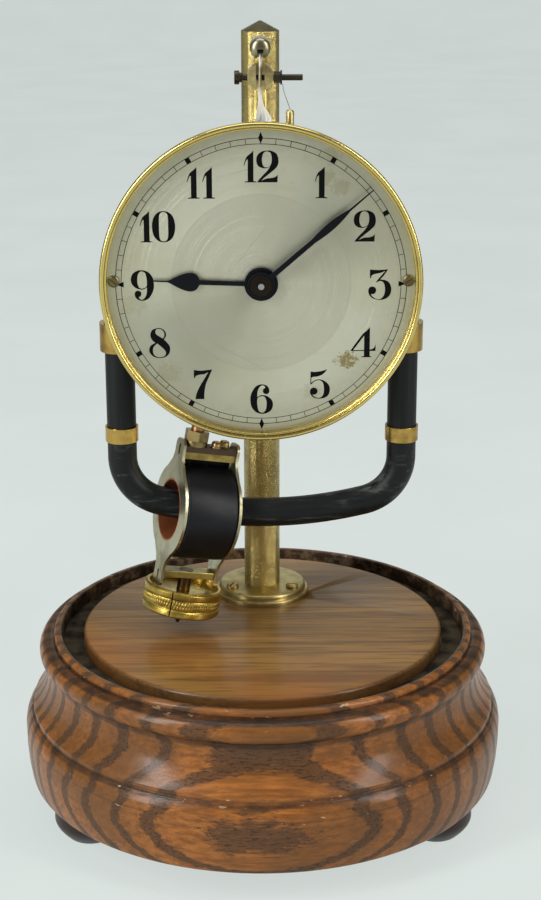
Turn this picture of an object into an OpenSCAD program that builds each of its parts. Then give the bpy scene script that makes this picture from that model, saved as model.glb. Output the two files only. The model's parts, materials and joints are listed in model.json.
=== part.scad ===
// Electric pendulum clock on a turned wooden base: a brass pillar carries an open movement,
// a U-shaped bar magnet and a pendulum whose hollow coil swings along the magnet.
// Millimetres. +Z is up, the dial faces -Y, and z = 0 is the table under the feet.

/* [Base] */
// Widest radius of the wooden base, at the sharp edge of its plinth
base_r = 102; // [98:0.5:110]
// Height of the wooden base, from the underside of the plinth to the top of the rim
base_h = 64.2; // [60:0.2:72]
// Height of the sharp edge above the underside of the plinth
plinth_h = 23.4; // [18:0.2:26]
// Radius of the inner edge of the rim, where the dome's groove begins
rim_r = 85.6; // [84:0.2:88]
// Width of the groove for the dome, between the rim and the loose wooden disc
groove_w = 9.4; // [7:0.2:12]
// Thickness of the wooden disc
disc_t = 6; // [4:0.2:8]
// How far the disc's top lies below the top of the rim
disc_sink = 0.7; // [0:0.1:2]
// Height of a bun foot
foot_h = 14; // [10:0.5:18]
// Widest radius of a bun foot
foot_r = 15.2; // [12:0.2:17]
// Distance of each bun foot from the middle of the base
foot_ring_r = 83; // [81:0.5:85]
// Number of bun feet
foot_count = 3; // [3:1:4]
// Radius of the hollow turned in the underside
cavity_r = 58; // [50:1:60]
// Height of that hollow
cavity_h = 42; // [36:1:46]

/* [Pillar] */
// Outer radius of the brass pillar
pillar_r = 7.8; // [7:0.1:9]
// Wall of the brass pillar
pillar_wall = 1.2; // [0.8:0.1:2]
// Distance of the pillar behind the middle of the base
pillar_y = 36; // [34:0.5:40]
// How far the pillar's tube rises above the middle of the upper stud
pillar_rise = 3.2; // [3.1:0.1:12]
// Height of the cone that closes the pillar
cap_h = 3.9; // [3:0.1:8]
// Radius of the pillar's foot flange
flange_r = 20.6; // [18:0.2:24]
// Radius on which the flange's three screws lie
flange_screw_ring_r = 15.2; // [13:0.2:15.8]

/* [Pendulum] */
// Place of the pendulum's plane, in front of the middle of the base
swing_y = -4; // [-5:0.5:-3]
// Angle at which the pendulum stands to the left at rest
rest_swing = 8.9; // [5:0.1:9]
// Angle by which the coil is turned about its hanging line at rest
rest_twist = 20; // [0:1:20]
// Distance from the bend of the silk down to the coil's axis
coil_drop = 175.8; // [160:0.1:200]
// Height of the coil's axis above the wooden disc when the pendulum hangs plumb
coil_h = 49.7; // [49.6:0.1:62]
// How far the coil's axis lies below the middle of the magnet's curve
coil_sag = 1.8; // [0:0.1:1.8]
// Lean of the coil and its rod against the hanging line
hang_lean = 3.6; // [0:0.1:4]
// Turn of the coil about its own bore, which takes its top back
coil_pitch = 5; // [0:0.5:6]
// Distance from the bend of the silk down to the contact pin
pin_drop = 80; // [76:0.5:82]
// Radius of the contact pin
pin_r = 0.8; // [0.5:0.05:1]
// Width of the silk ribbon
silk_w = 7.5; // [5:0.5:8]

/* [Coil] */
// Inner radius of the fibre lining that the magnet passes through
bore_r = 12.4; // [12.4:0.1:12.8]
// Wall of the fibre lining
liner_wall = 0.6; // [0.4:0.1:1]
// Outer radius of the winding
winding_r = 19.6; // [17:0.1:21]
// Distance between the inner faces of the two cheeks
coil_len = 22.6; // [22.6:0.2:23]
// Thickness of a cheek plate
cheek_t = 1.2; // [0.8:0.1:1.6]
// Distance from the coil's axis to the upper end of a cheek's strap
strap_top = 30.5; // [30:0.1:31]
// Distance from the coil's axis to the lower end of a cheek's strap
strap_foot = 32.5; // [31.5:0.1:32.8]
// Width of a cheek's strap
strap_w = 9.4; // [8:0.2:12]
// Radius of the knurled rating nut
nut_r = 16.4; // [16.2:0.2:19]
// Thickness of the rating nut
nut_t = 11.2; // [9:0.2:11.4]
// Radius of the threaded rod that carries the rating nut
rating_rod_r = 2.8; // [1.5:0.1:3]

/* [Magnet] */
// Radius of the round magnet bar
magnet_r = 6; // [5:0.1:6.1]
// Radius of the bend between the long curve and an arm
magnet_bend_r = 20; // [14:1:24]
// Distance of each arm from the middle
arm_x = 57.6; // [56:0.2:60]
// Straight length of the magnet bar between its bend and the joint with an arm
bar_straight = 10.3; // [6:0.1:20]
// Height of the arms' tops above the dial's middle
arm_rise = 9; // [8:0.5:16]
// Wall of the upper collars
upper_collar_wall = 1.9; // [1:0.1:3]
// Height of the upper collars and of the cross bar that carries them
upper_collar_h = 11.6; // [8:0.2:13]
// Distance of the upper collars' middle below the dial's middle
collar_drop = 25.9; // [24.5:0.1:27.5]
// Wall of the lower collars
lower_collar_wall = 0.8; // [0.5:0.1:2]
// Height of the lower collars
lower_collar_h = 6.4; // [4:0.2:10]

/* [Dial] */
// Radius of the dial and of the rebate in its bezel
dial_r = 61.2; // [60.6:0.1:62]
// Thickness of the dial
dial_t = 0.8; // [0.5:0.1:1]
// Distance from the bend of the silk down to the dial's middle
dial_drop = 72; // [70:0.5:75]
// Place of the dial's face, in front of the middle of the base
dial_y = -24; // [-26:0.5:-24]
// How far the bezel reaches past the dial
bezel_lap = 1.9; // [1.6:0.1:3.8]
// Width of the bezel as seen from the front
bezel_w = 3; // [2.4:0.1:4]
// How far the bezel stands in front of the dial
bezel_rise = 4.6; // [3:0.1:6]
// Angle of the minute hand at rest, clockwise from twelve
minute_angle = 49.3; // [0:0.1:360]
// Angle of the hour hand at rest, clockwise from twelve
hour_angle = 272; // [0:0.1:360]
// Length of the minute hand from its middle
minute_len = 57.2; // [50:0.2:58]
// Length of the hour hand from its middle
hour_len = 42.4; // [36:0.2:46]
// Thickness of each hand
hand_t = 0.6; // [0.4:0.1:0.8]

/* [Movement] */
// Thickness of the movement's plates
plate_t = 1.5; // [1:0.1:1.6]
// Gap between the movement's plates
plate_gap = 6; // [5.9:0.05:6.1]
// Half of the plates' width
plate_half_w = 32; // [31.6:0.2:36]
// Gap between the dial and the front plate
dial_gap = 5.7; // [5.6:0.05:6]
// Mean radius of the worm's thread
worm_r = 2.25; // [2.1:0.05:2.3]
// Teeth of the ratchet wheel
ratchet_teeth = 60; // [40:1:72]
// Radius of the ratchet wheel
ratchet_r = 5.6; // [5:0.1:5.6]
// Distance from the fork's pivot to the pawl's pin
pawl_reach = 1.6; // [1.4:0.1:1.8]

/* [Hidden] */
$fn = 96;

// Heights worked out from the table up
base_z = foot_h;
rim_z = base_z + base_h;
disc_z = rim_z - disc_sink;
seat_z = disc_z - disc_t;
flex_z = disc_z + coil_h + coil_drop;
dial_z = flex_z - dial_drop;
collar_z = dial_z - collar_drop;
disc_r = rim_r - groove_w;

// Magnet: a long curve about the bend of the silk, a bend at each end and a straight up to the arm
magnet_curve_r = coil_drop - coil_sag;
bend_x = arm_x - magnet_bend_r;
bend_z = flex_z - sqrt(pow(magnet_curve_r - magnet_bend_r, 2) - bend_x * bend_x);
bend_angle = asin(bend_x / (magnet_curve_r - magnet_bend_r));
joint_z = bend_z + bar_straight;
arm_len = dial_z + arm_rise - joint_z;

// Running clearance on a radius, and the gap between pieces that only pass each other
fit = 0.05;
gap = 0.4;
// A cut goes this far past the face it opens
past = 1;

// Pillar: foot flange in two steps, tube and cap
flange_step = 2.2;
flange_t = 4.6;
pillar_z0 = disc_z + flange_t;
spigot_h = 10;
wood_screw_r = 1.6;
centre_bolt_r = 2.5;
flange_head_r = 2.7;

// Studs on the pillar: their heads lie in the pendulum's plane
stud_front = swing_y - 4;
stud_back = pillar_y - pillar_r + 2.5;
stud_head_l = 12;
upper_stud_r = 4.1;
upper_neck_r = 2.2;
upper_stud_dome = 0.9;
upper_stud_z = flex_z + 16.4;
pillar_z1 = upper_stud_z + pillar_rise;
pillar_len = pillar_z1 - pillar_z0;
cap_spigot = 0.7;
split_stud_r = 5;
split_neck_r = 3.2;
split_stud_z = flex_z + split_stud_r + 0.4;
slot_w = 3.4;
bolt_r = 1.25;
bolt_y = stud_front + 9;
bolt_z = split_stud_z - 0.8;
bolt_x0 = -10.2;
bolt_x1 = 16.6;
bolt_head_l = 3.2;
bolt_head_r = 2.7;
clamp_nut_x = split_stud_r + 0.2;
clamp_nut_l = 2.6;
washer_t = 0.7;
washer_r = 2.8;

// Depths of the movement, from the dial back
dial_back = dial_y + dial_t;
front_y0 = dial_back + dial_gap;
front_y1 = front_y0 + plate_t;
back_y0 = front_y1 + plate_gap;
back_y1 = back_y0 + plate_t;
mid_y = (front_y1 + back_y0) / 2;
plate_below = 31;
plate_above = 28;
plate_z0 = dial_z - plate_below;
plate_z1 = dial_z + plate_above;
plate_corner = 5;
pillar_xs = [-1, 1];
plate_pillar_x = plate_half_w - 3;
plate_pillar_zs = [dial_z - 19, dial_z + 15];
plate_pillar_r = 2;
post_x = 27;
post_r = 3;

// Cross bar behind the pendulum, and the block that joins it to the pillar
bar_y0 = swing_y + magnet_r + upper_collar_wall + 0.6;
bar_t = 5.5;
bar_y1 = bar_y0 + bar_t;
block_half_w = 9;
bar_screw_r = 1.5;
bar_head_r = 2.8;
block_head_r = 2.4;
spot_y = pillar_y + pillar_r - 0.6;

// Wheels: motion work in front of the plate, worm wheel between the plates
arbor_r = 1;
cannon_r = 1.7;
pipe_r = 2.7;
cannon_teeth = 12;
minute_wheel_teeth = 36;
minute_pinion_teeth = 10;
hour_wheel_teeth = 40;
cannon_module = 0.5;
motion_centre = (cannon_teeth + minute_wheel_teeth) * cannon_module / 2;
pinion_module = 2 * motion_centre / (minute_pinion_teeth + hour_wheel_teeth);
minute_wheel_dir = -60;
wheel_t = 1.3;
layer_gap = 0.4;
backlash = 0.12;
worm_wheel_teeth = 72;
worm_module = 0.5;
worm_pitch = PI * worm_module;
worm_wheel_r = worm_wheel_teeth * worm_module / 2;
worm_depth = 0.4;
worm_x = -(worm_wheel_r + worm_r + 0.08);
worm_len = 6 * worm_pitch;
worm_wheel_t = 1.2;
worm_arbor_r = 0.8;
ratchet_z = dial_z + 22;
ratchet_t = 1.2;
ratchet_depth = 0.35;
cock_h = 3.2;
cock_w = 5.4;
cock_low_z = dial_z - 13;
cock_high_z = ratchet_z + ratchet_t + 1.2;

// Fork: it turns on an arbor above the contact pin and lies behind the back plate
fork_z = ratchet_z + ratchet_t / 2 - pawl_reach;
fork_y0 = back_y1 + 0.6;
fork_t = 1.2;
fork_arbor_r = 0.7;
pin_x = -pin_drop * sin(rest_swing);
pin_z = flex_z - pin_drop * cos(rest_swing);
fork_rest = atan2(-pin_x, fork_z - pin_z);
fork_reach = norm([pin_x, fork_z - pin_z]);
fork_slot = pin_r + 0.4;
fork_in = fork_reach - 3.4;
fork_out = fork_reach + 1.6;
pawl_t = 0.6;
pawl_pin_r = 0.4;
pawl_y0 = fork_y0 + fork_t + 0.1;
pawl_x = pawl_reach * sin(fork_rest);

// Hanger: a strip from the silk's chop down to a stirrup in which the rod turns
hanger_w = 5;
hanger_t = 2.4;
chop_w = 11;
chop_h = 6;
chop_top = 15;
stirrup_w = 9;
stirrup_d = 5;
stirrup_h = 13;
stirrup_wall = 3;
stirrup_top = pin_drop + 4;
swivel_r = 1.2;

// Coil frame: pieces above and below the coil
bar_d = 7.4;
bar_h = 3;
top_bar_z = strap_top - 7.6;
bottom_bar_z = -strap_foot + 4.1;
term_t = 2.4;
term_z = top_bar_z + bar_h;
socket_x = -6;
rod_r = 1.6;
flange_nut_r = 4.9;
flange_nut_t = 2.2;
rod_nut_r = 5.2;
rod_nut_t = 4.1;
rod_nut_z = term_z + term_t + flange_nut_t;
bush_r = 2.8;
bush_h = 7;
rod_bend_z = rod_nut_z + rod_nut_t + bush_h;
nut_top = -strap_foot + 0.9;
nut_slit = 0.5;
recess_depth = 2.6;
recess_r = nut_r - 2;
tip_l = 6;
cheek_bore_r = bore_r + liner_wall + 0.05;

// Dial fixings and hands
bezel_r = dial_r + bezel_lap;
hub_hole_r = 4;
dial_screw_r = 2.3;
dial_pillar_r = 3;
dial_spigot_r = 1.8;
hour_lift = 1.8;
hand_step = 2.3;
hour_y = dial_y - hour_lift;
minute_y = hour_y - hand_step;
arbor_nose = 2.2;
hour_boss_r = 6.6;
minute_boss_r = 5.2;
washer_hub_r = 3.9;

// Points along an arc in the plane of a profile
function arc(c, r, a0, a1, n = 12) =
    [for (i = [0:n]) let (a = a0 + (a1 - a0) * i / n) c + r * [cos(a), sin(a)]];

// Involute of a 20 degree tooth, in degrees, at radius r over base radius rb
function inv(rb, r) = let (a = acos(min(1, rb / r))) (tan(a) * 180 / PI - a);

// Outline of an involute wheel: n teeth of module m, their tips add modules past the pitch circle
function gear_points(n, m, add = 0.9, ded = 1.2, play = backlash) =
    let (rp = n * m / 2, rb = rp * cos(20), ra = rp + add * m, rr = rp - ded * m,
         half = 90 / n - play / 4 / rp * 180 / PI + inv(rb, rp),
         radii = [rr, max(rb, rr + 0.01), (max(rb, rr) + rp) / 2, rp, (rp + ra) / 2, ra])
    [for (i = [0:n - 1])
        each concat([for (r = radii) let (a = i * 360 / n - half + inv(rb, max(r, rb))) r * [cos(a), sin(a)]],
                    [for (k = [len(radii) - 1:-1:0])
                        let (r = radii[k], a = i * 360 / n + half - inv(rb, max(r, rb)))
                            r * [cos(a), sin(a)]])];

// Outline of a wheel whose straight-sided teeth run with the worm
function worm_wheel_points(n, m) =
    let (rp = n * m / 2, steps = [[rp - 0.55, 0.4], [rp, 0.275], [rp + 0.35, 0.12]])
    [for (i = [0:n - 1])
        each concat([for (s = steps) let (a = i * 360 / n - s[1] / s[0] * 180 / PI) s[0] * [cos(a), sin(a)]],
                    [for (k = [2:-1:0]) let (s = steps[k], a = i * 360 / n + s[1] / s[0] * 180 / PI)
                        s[0] * [cos(a), sin(a)]])];

// Ratchet teeth: one steep side and one long back
function ratchet_points(n, r, depth) =
    [for (i = [0:n - 1]) each [r * [cos(i * 360 / n), sin(i * 360 / n)],
                              (r - depth) * [cos((i + 0.08) * 360 / n), sin((i + 0.08) * 360 / n)]]];

// Places a flat outline so that it faces the front, its back at y and its height t
module facing(y, t, z = dial_z, x = 0)
    translate([x, y, z]) rotate([90, 0, 0]) linear_extrude(t) children();

// A round bar along Y from y0 (front) to y1 (back)
module along_y(r, y0, y1, x, z, fn = 48)
    translate([x, y1, z]) rotate([90, 0, 0]) cylinder(r = r, h = y1 - y0, $fn = fn);

// A round bar along X
module along_x(r, x0, x1, y, z, fn = 48)
    translate([x0, y, z]) rotate([0, 90, 0]) cylinder(r = r, h = x1 - x0, $fn = fn);

// A slotted screw head with its shank below it, standing on z = 0
module slotted_screw(head_r, head_h, shank_r, shank_l, slot = 0.6) {
    difference() {
        union() {
            cylinder(r = head_r, h = head_h * 0.6, $fn = 40);
            translate([0, 0, head_h * 0.6])
                cylinder(r1 = head_r, r2 = head_r * 0.75, h = head_h * 0.4, $fn = 40);
        }
        translate([-head_r - past, -slot / 2, head_h * 0.5]) cube([2 * head_r + 2 * past, slot, head_h]);
    }
    translate([0, 0, -shank_l]) cylinder(r = shank_r, h = shank_l, $fn = 32);
}

// Frames that hang from the bend of the silk
module hanging() translate([0, swing_y, flex_z]) rotate([0, rest_swing, 0]) children();
module twisted() hanging() rotate([0, 0, rest_twist]) children();
module at_coil()
    twisted() translate([0, 0, -coil_drop]) rotate([0, hang_lean, 0]) rotate([-coil_pitch, 0, 0]) children();

// Outline of the turned base from its rim down to the plinth, as radius and height
neck_r = base_r - 10.4;
bead_c = [rim_r + 4.7, rim_z - 7.7];
bead_size = 4.8;
edge_z = base_z + plinth_h;
band_r = 8.1;
fillet_z = edge_z + 9;
cove_z = bead_c[1] - bead_size - 1.2;
function base_outline() = concat(
    [[rim_r, seat_z], [rim_r, rim_z - 0.4], [rim_r + 0.5, rim_z], [rim_r + 1.6, rim_z]],
    arc([rim_r + 1.6, rim_z - 1.6], 1.6, 90, 0, 4),
    [[rim_r + 3.2, rim_z - 3.1]],
    arc(bead_c, bead_size, 100, -62, 14),
    [[neck_r + 0.4, bead_c[1] - bead_size]],
    [for (i = [1:9]) let (t = i / 10)
        [neck_r + (base_r - 3.6 - neck_r) * pow(t, 2.4), cove_z - (cove_z - fillet_z) * t]],
    [[base_r - 3.4, fillet_z], [base_r - 3.4, fillet_z - 2.2], [base_r - 2.4, fillet_z - 2.8]],
    arc([base_r - band_r - 0.1, edge_z + 0.2], band_r, 44, 2, 6),
    [[base_r, edge_z], [base_r - 0.1, edge_z - 8], [base_r - 0.6, edge_z - 15], [base_r - 1.5, base_z + 2.2]],
    arc([base_r - 3.6, base_z + 2], 2, 0, -90, 4)
);

rebate_w = 6;
rebate_h = 3;
rebate_r = cavity_r + rebate_w;
foot_screw_l = 14;
module base_moulding() color("peru") {
    difference() {
        rotate_extrude($fn = 180)
            polygon(concat(base_outline(), [[rebate_r, base_z], [rebate_r, base_z + rebate_h],
                [cavity_r, base_z + rebate_h], [cavity_r, base_z + cavity_h], [0, base_z + cavity_h],
                [0, seat_z]]));
        for (a = foot_angles) rotate([0, 0, a]) translate([foot_ring_r, 0, base_z - past])
            cylinder(r = wood_screw_r, h = foot_screw_l + past, $fn = 32);
        translate([0, pillar_y, base_z]) cylinder(r = centre_bolt_r, h = base_h, $fn = 32);
    }
}

module base_disc() color("saddlebrown")
    difference() {
        rotate_extrude($fn = 180)
            polygon(concat([[0, seat_z], [disc_r, seat_z]], arc([disc_r - 1.4, disc_z - 1.4], 1.4, 0, 90, 6),
                [[0, disc_z]]));
        translate([0, pillar_y, seat_z - past]) cylinder(r = centre_bolt_r, h = disc_t + 2 * past, $fn = 32);
        flange_screw_places() translate([0, 0, -disc_t + 1]) cylinder(r = wood_screw_r, h = disc_t, $fn = 32);
    }

module groove_felt() color("dimgray")
    translate([0, 0, seat_z]) difference() {
        cylinder(r = rim_r - gap, h = 0.8, $fn = 180);
        translate([0, 0, -past]) cylinder(r = disc_r + gap, h = 0.8 + 2 * past, $fn = 180);
    }

foot_angles = [for (i = [0:foot_count - 1]) 90 + i * 360 / foot_count];
module bun_feet() color("black")
    for (a = foot_angles) rotate([0, 0, a]) translate([foot_ring_r, 0, 0]) difference() {
        rotate_extrude($fn = 72) polygon(concat([[0, 0], [foot_r - 5.4, 0]],
            [for (i = [1:8]) let (t = i / 8) [foot_r - 5.4 + 5.4 * sin(90 * t), foot_h * 0.62 * t]],
            [[foot_r - 0.2, foot_h - 1.5], [foot_r - 0.9, foot_h], [0, foot_h]]));
        translate([0, 0, -past]) cylinder(r = 3.4, h = 5 + past, $fn = 32);
        cylinder(r = wood_screw_r, h = foot_h + past, $fn = 32);
    }

module base_screws() color("slategray") {
    for (a = foot_angles) rotate([0, 0, a]) translate([foot_ring_r, 0, 5]) {
        translate([0, 0, -2]) cylinder(r = 3.2, h = 2, $fn = 32);
        cylinder(r = wood_screw_r - fit, h = foot_h + 6, $fn = 32);
    }
    for (a = foot_angles) rotate([0, 0, a + 60]) translate([cavity_r + 3, 0, base_z - 1.2])
        cylinder(r = 2.6, h = 1.2, $fn = 32);
}

module bottom_cover() color("tan")
    translate([0, 0, base_z]) cylinder(r = rebate_r - gap, h = rebate_h - gap, $fn = 120);

battery_r = 16;
battery_l = 61;
battery_cap = 2;
battery_z = base_z + rebate_h + battery_r + 1.5;
clip_t = 1;
clip_w = 12;
clip_gap = 3;
module battery_cell() color("darkslategray") {
    along_x(battery_r, -battery_l / 2, battery_l / 2, 0, battery_z, 72);
    along_x(3.4, battery_l / 2, battery_l / 2 + battery_cap, 0, battery_z, 32);
}

module battery_clips() color("goldenrod") {
    for (s = [-1, 1]) {
        x = s < 0 ? -battery_l / 2 - clip_t : battery_l / 2 + battery_cap;
        translate([x, -clip_w / 2, base_z + rebate_h + clip_gap])
            cube([clip_t, clip_w, cavity_h - rebate_h - clip_gap]);
    }
}

module flange_screw_places()
    for (a = [90, 210, 330]) translate([0, pillar_y, disc_z]) rotate([0, 0, a])
        translate([flange_screw_ring_r, 0, 0]) children();

module pillar_foot() color("goldenrod")
    difference() {
        translate([0, pillar_y, disc_z]) union() {
            rotate_extrude() polygon(concat([[0, 0], [flange_r, 0], [flange_r, flange_step - 0.5],
                [flange_r - 0.5, flange_step], [flange_r - 1.5, flange_step]],
                arc([flange_r - 2.7, flange_t - 1.2], 1.2, 0, 90, 5), [[0, flange_t]]));
            cylinder(r = pillar_r - pillar_wall, h = flange_t + spigot_h);
        }
        translate([0, pillar_y, disc_z - past])
            cylinder(r = centre_bolt_r, h = flange_t + spigot_h + 2 * past, $fn = 32);
        flange_screw_places()
            translate([0, 0, -past]) cylinder(r = wood_screw_r, h = flange_t + 2 * past, $fn = 32);
    }

module pillar_foot_screws() color("darkgoldenrod")
    flange_screw_places() translate([0, 0, flange_t]) rotate([0, 0, 35])
        slotted_screw(flange_head_r, 1.6, wood_screw_r - fit, flange_t + 4);

module pillar_tube() color("goldenrod")
    difference() {
        translate([0, pillar_y, pillar_z0]) cylinder(r = pillar_r, h = pillar_len);
        translate([0, pillar_y, pillar_z0 - past])
            cylinder(r = pillar_r - pillar_wall, h = pillar_len + 2 * past);
        along_y(upper_neck_r, pillar_y - pillar_r - past, pillar_y, 0, upper_stud_z);
        along_y(split_neck_r, pillar_y - pillar_r - past, pillar_y, 0, split_stud_z);
        for (z = block_screw_zs)
            along_y(bar_screw_r, pillar_y - pillar_r - past, pillar_y + pillar_r + past, 0, z);
        // Flats on which the heads of the block's screws lie
        for (z = block_screw_zs) along_y(block_head_r + 0.2, spot_y, pillar_y + pillar_r + past, 0, z);
    }

module pillar_cap() color("darkgoldenrod")
    translate([0, pillar_y, pillar_z1]) {
        cylinder(r1 = pillar_r, r2 = 0.5, h = cap_h);
        translate([0, 0, -cap_spigot]) cylinder(r = pillar_r - pillar_wall, h = cap_spigot);
    }

// Upper stud: the silk hangs from a peg in a slot cut in its head
module upper_stud() color("goldenrod") {
    difference() {
        translate([0, stud_front + stud_head_l, upper_stud_z]) rotate([90, 0, 0]) rotate_extrude()
            polygon(concat([[0, 0]], [for (i = [0:6]) let (a = 15 * i)
                [upper_stud_r * cos(a), stud_head_l - upper_stud_dome * (1 - sin(a))]]));
        translate([-1.2, stud_front - past, upper_stud_z - upper_stud_r - past])
            cube([2.4, 8 + past, upper_stud_r + past]);
    }
    along_y(upper_neck_r, stud_front + stud_head_l, stud_back, 0, upper_stud_z);
    along_x(0.6, -upper_stud_r + 0.6, upper_stud_r - 0.6, swing_y, upper_stud_z - 1.4, 24);
}

// Lower stud: split by a slot through which the silk passes, and drawn together by the cross bolt
module split_stud() color("goldenrod") {
    difference() {
        along_y(split_stud_r, stud_front, stud_front + stud_head_l, 0, split_stud_z);
        translate([-slot_w / 2, stud_front - past, split_stud_z - split_stud_r - past])
            cube([slot_w, 8.4 + past, 2 * split_stud_r + 2 * past]);
        along_x(bolt_r, -split_stud_r - past, split_stud_r + past, bolt_y, bolt_z);
    }
    along_y(split_neck_r, stud_front + stud_head_l, stud_back, 0, split_stud_z);
}

module clamp_bolt() color("dimgray") {
    along_x(bolt_r - fit, bolt_x0 + bolt_head_l, bolt_x1, bolt_y, bolt_z);
    along_x(bolt_head_r, bolt_x0, bolt_x0 + bolt_head_l * 0.62, bolt_y, bolt_z, 40);
    along_x(bolt_head_r - 0.8, bolt_x0 + bolt_head_l * 0.62, bolt_x0 + bolt_head_l, bolt_y, bolt_z, 40);
}

module clamp_nut() color("dimgray") {
    difference() {
        along_x(2.3, clamp_nut_x, clamp_nut_x + clamp_nut_l, bolt_y, bolt_z, 6);
        along_x(bolt_r, clamp_nut_x - past, clamp_nut_x + clamp_nut_l + past, bolt_y, bolt_z);
    }
    difference() {
        along_x(washer_r, clamp_nut_x + clamp_nut_l, clamp_nut_x + clamp_nut_l + washer_t, bolt_y, bolt_z, 40);
        along_x(bolt_r, clamp_nut_x - past, clamp_nut_x + clamp_nut_l + 2, bolt_y, bolt_z);
    }
}

// Silk ribbon: edge on between the studs, then turning to face the front and widening
silk_t = 0.5;
silk_rings = 18;
function silk_ring(i) = let (
    s = i / silk_rings,
    high = upper_stud_z - 2.05 - flex_z,
    low = chop_top + 3,
    d = high - (high + low) * s,
    below = max(0, -d) / low,
    turn = 90 * (1 - pow(sin(90 * min(1, below * low / (chop_top - 1.5))), 1.5)),
    w = silk_w * (0.8 + 0.35 * below) / 2,
    c = d > 0 ? [0, swing_y, flex_z + d] : [d * sin(rest_swing), swing_y, flex_z + d * cos(rest_swing)])
    [for (q = [[-1, -1], [1, -1], [1, 1], [-1, 1]]) let (a = q[0] * w, b = q[1] * silk_t / 2)
        c + [a * cos(turn) - b * sin(turn), a * sin(turn) + b * cos(turn), 0]];
module silk_ribbon() color("white") {
    pts = [for (i = [0:silk_rings]) each silk_ring(i)];
    last = 4 * silk_rings;
    sides = [for (i = [0:silk_rings - 1], k = [0:3]) let (a = 4 * i + k, b = 4 * i + (k + 1) % 4)
        each [[a, b, b + 4], [a, b + 4, a + 4]]];
    polyhedron(pts, concat([[2, 1, 0], [3, 2, 0]], sides,
        [[last, last + 1, last + 2], [last, last + 2, last + 3]]));
}

block_screw_zs = [collar_z - 3, collar_z + 3];
module bracket_block() color("goldenrod")
    difference() {
        translate([-block_half_w, bar_y1, collar_z - upper_collar_h / 2])
            cube([2 * block_half_w, pillar_y - bar_y1, upper_collar_h]);
        translate([0, pillar_y, collar_z - upper_collar_h]) cylinder(r = pillar_r, h = 2 * upper_collar_h);
        for (z = block_screw_zs) along_y(bar_screw_r, bar_y1 - past, pillar_y, 0, z);
        for (x = [-5.4, 5.4]) along_y(bar_screw_r, bar_y1 - past, bar_y1 + 9, x, collar_z);
    }

module cross_bar() color("goldenrod")
    difference() {
        translate([-arm_x - 4, bar_y0, collar_z - upper_collar_h / 2])
            cube([2 * arm_x + 8, bar_t, upper_collar_h]);
        for (x = [-arm_x, -5.4, 5.4, arm_x]) along_y(bar_screw_r, bar_y0 - past, bar_y1 + past, x, collar_z);
        for (x = [-post_x, post_x]) along_y(1.6, bar_y0 - past, bar_y1 + past, x, collar_z);
    }

module bracket_screws() color("darkgoldenrod") {
    for (x = [-5.4, 5.4]) translate([x, bar_y0, collar_z]) rotate([90, 0, 0])
        slotted_screw(bar_head_r, 1.8, bar_screw_r - fit, bar_t + 8);
    for (s = [-1, 1]) translate([s * arm_x, bar_y1, collar_z]) rotate([-90, 0, 0])
        slotted_screw(bar_head_r, 1.8, bar_screw_r - fit, bar_t + 0.5);
    for (z = block_screw_zs) translate([0, spot_y, z]) rotate([-90, 0, 0])
        slotted_screw(block_head_r, 1.8, bar_screw_r - fit, 2 * pillar_r + 6);
}

module upper_collars() color("goldenrod")
    for (s = [-1, 1]) difference() {
        union() {
            translate([s * arm_x, swing_y, collar_z - upper_collar_h / 2])
                cylinder(r = magnet_r + upper_collar_wall, h = upper_collar_h);
            translate([s * arm_x - 4, swing_y + magnet_r, collar_z - upper_collar_h / 2])
                cube([8, bar_y0 - swing_y - magnet_r, upper_collar_h]);
        }
        translate([s * arm_x, swing_y, collar_z - upper_collar_h])
            cylinder(r = magnet_r + fit, h = 2 * upper_collar_h);
        along_y(bar_screw_r, swing_y + magnet_r, bar_y0 + past, s * arm_x, collar_z);
    }

module magnet_arms() color("black")
    for (s = [-1, 1]) difference() {
        translate([s * arm_x, swing_y, joint_z]) cylinder(r = magnet_r, h = arm_len);
        along_y(dial_spigot_r, swing_y - magnet_r - past, swing_y, s * arm_x, dial_z + 1);
    }

// Magnet bar: its lengths end just short of each other inside thin sleeves, so no two faces coincide
sleeve_l = 0.6;
sleeve_gap = 0.1;
sleeve_r = magnet_r + 0.02;
module bar_sleeve() cylinder(r = sleeve_r, h = sleeve_l, center = true, $fn = 48);
module magnet_bar() color("black") {
    curve_gap = sleeve_gap / magnet_curve_r * 180 / PI;
    bend_gap = sleeve_gap / magnet_bend_r * 180 / PI;
    // Long curve under the bend of the silk
    translate([0, swing_y, flex_z]) rotate([90, 0, 0]) rotate([0, 0, -90 - bend_angle + curve_gap])
        rotate_extrude(angle = 2 * (bend_angle - curve_gap), $fn = 360)
            translate([magnet_curve_r, 0]) circle(r = magnet_r, $fn = 48);
    for (s = [0, 1]) mirror([s, 0, 0]) {
        translate([bend_x, swing_y, bend_z]) rotate([90, 0, 0]) rotate([0, 0, -90 + bend_angle + bend_gap])
            rotate_extrude(angle = 90 - bend_angle - 2 * bend_gap, $fn = 120)
                translate([magnet_bend_r, 0]) circle(r = magnet_r, $fn = 48);
        translate([arm_x, swing_y, bend_z + sleeve_gap])
            cylinder(r = magnet_r, h = joint_z - bend_z - sleeve_gap, $fn = 48);
        translate([arm_x, swing_y, bend_z]) bar_sleeve();
        translate([magnet_curve_r * sin(bend_angle), swing_y, flex_z - magnet_curve_r * cos(bend_angle)])
            rotate([0, 90 - bend_angle, 0]) bar_sleeve();
    }
}

module lower_collars() color("goldenrod")
    for (s = [-1, 1]) translate([s * arm_x, swing_y, joint_z - lower_collar_h / 2]) difference() {
        cylinder(r = magnet_r + lower_collar_wall, h = lower_collar_h);
        translate([0, 0, -past]) cylinder(r = magnet_r + 0.02, h = lower_collar_h + 2 * past);
    }

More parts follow.
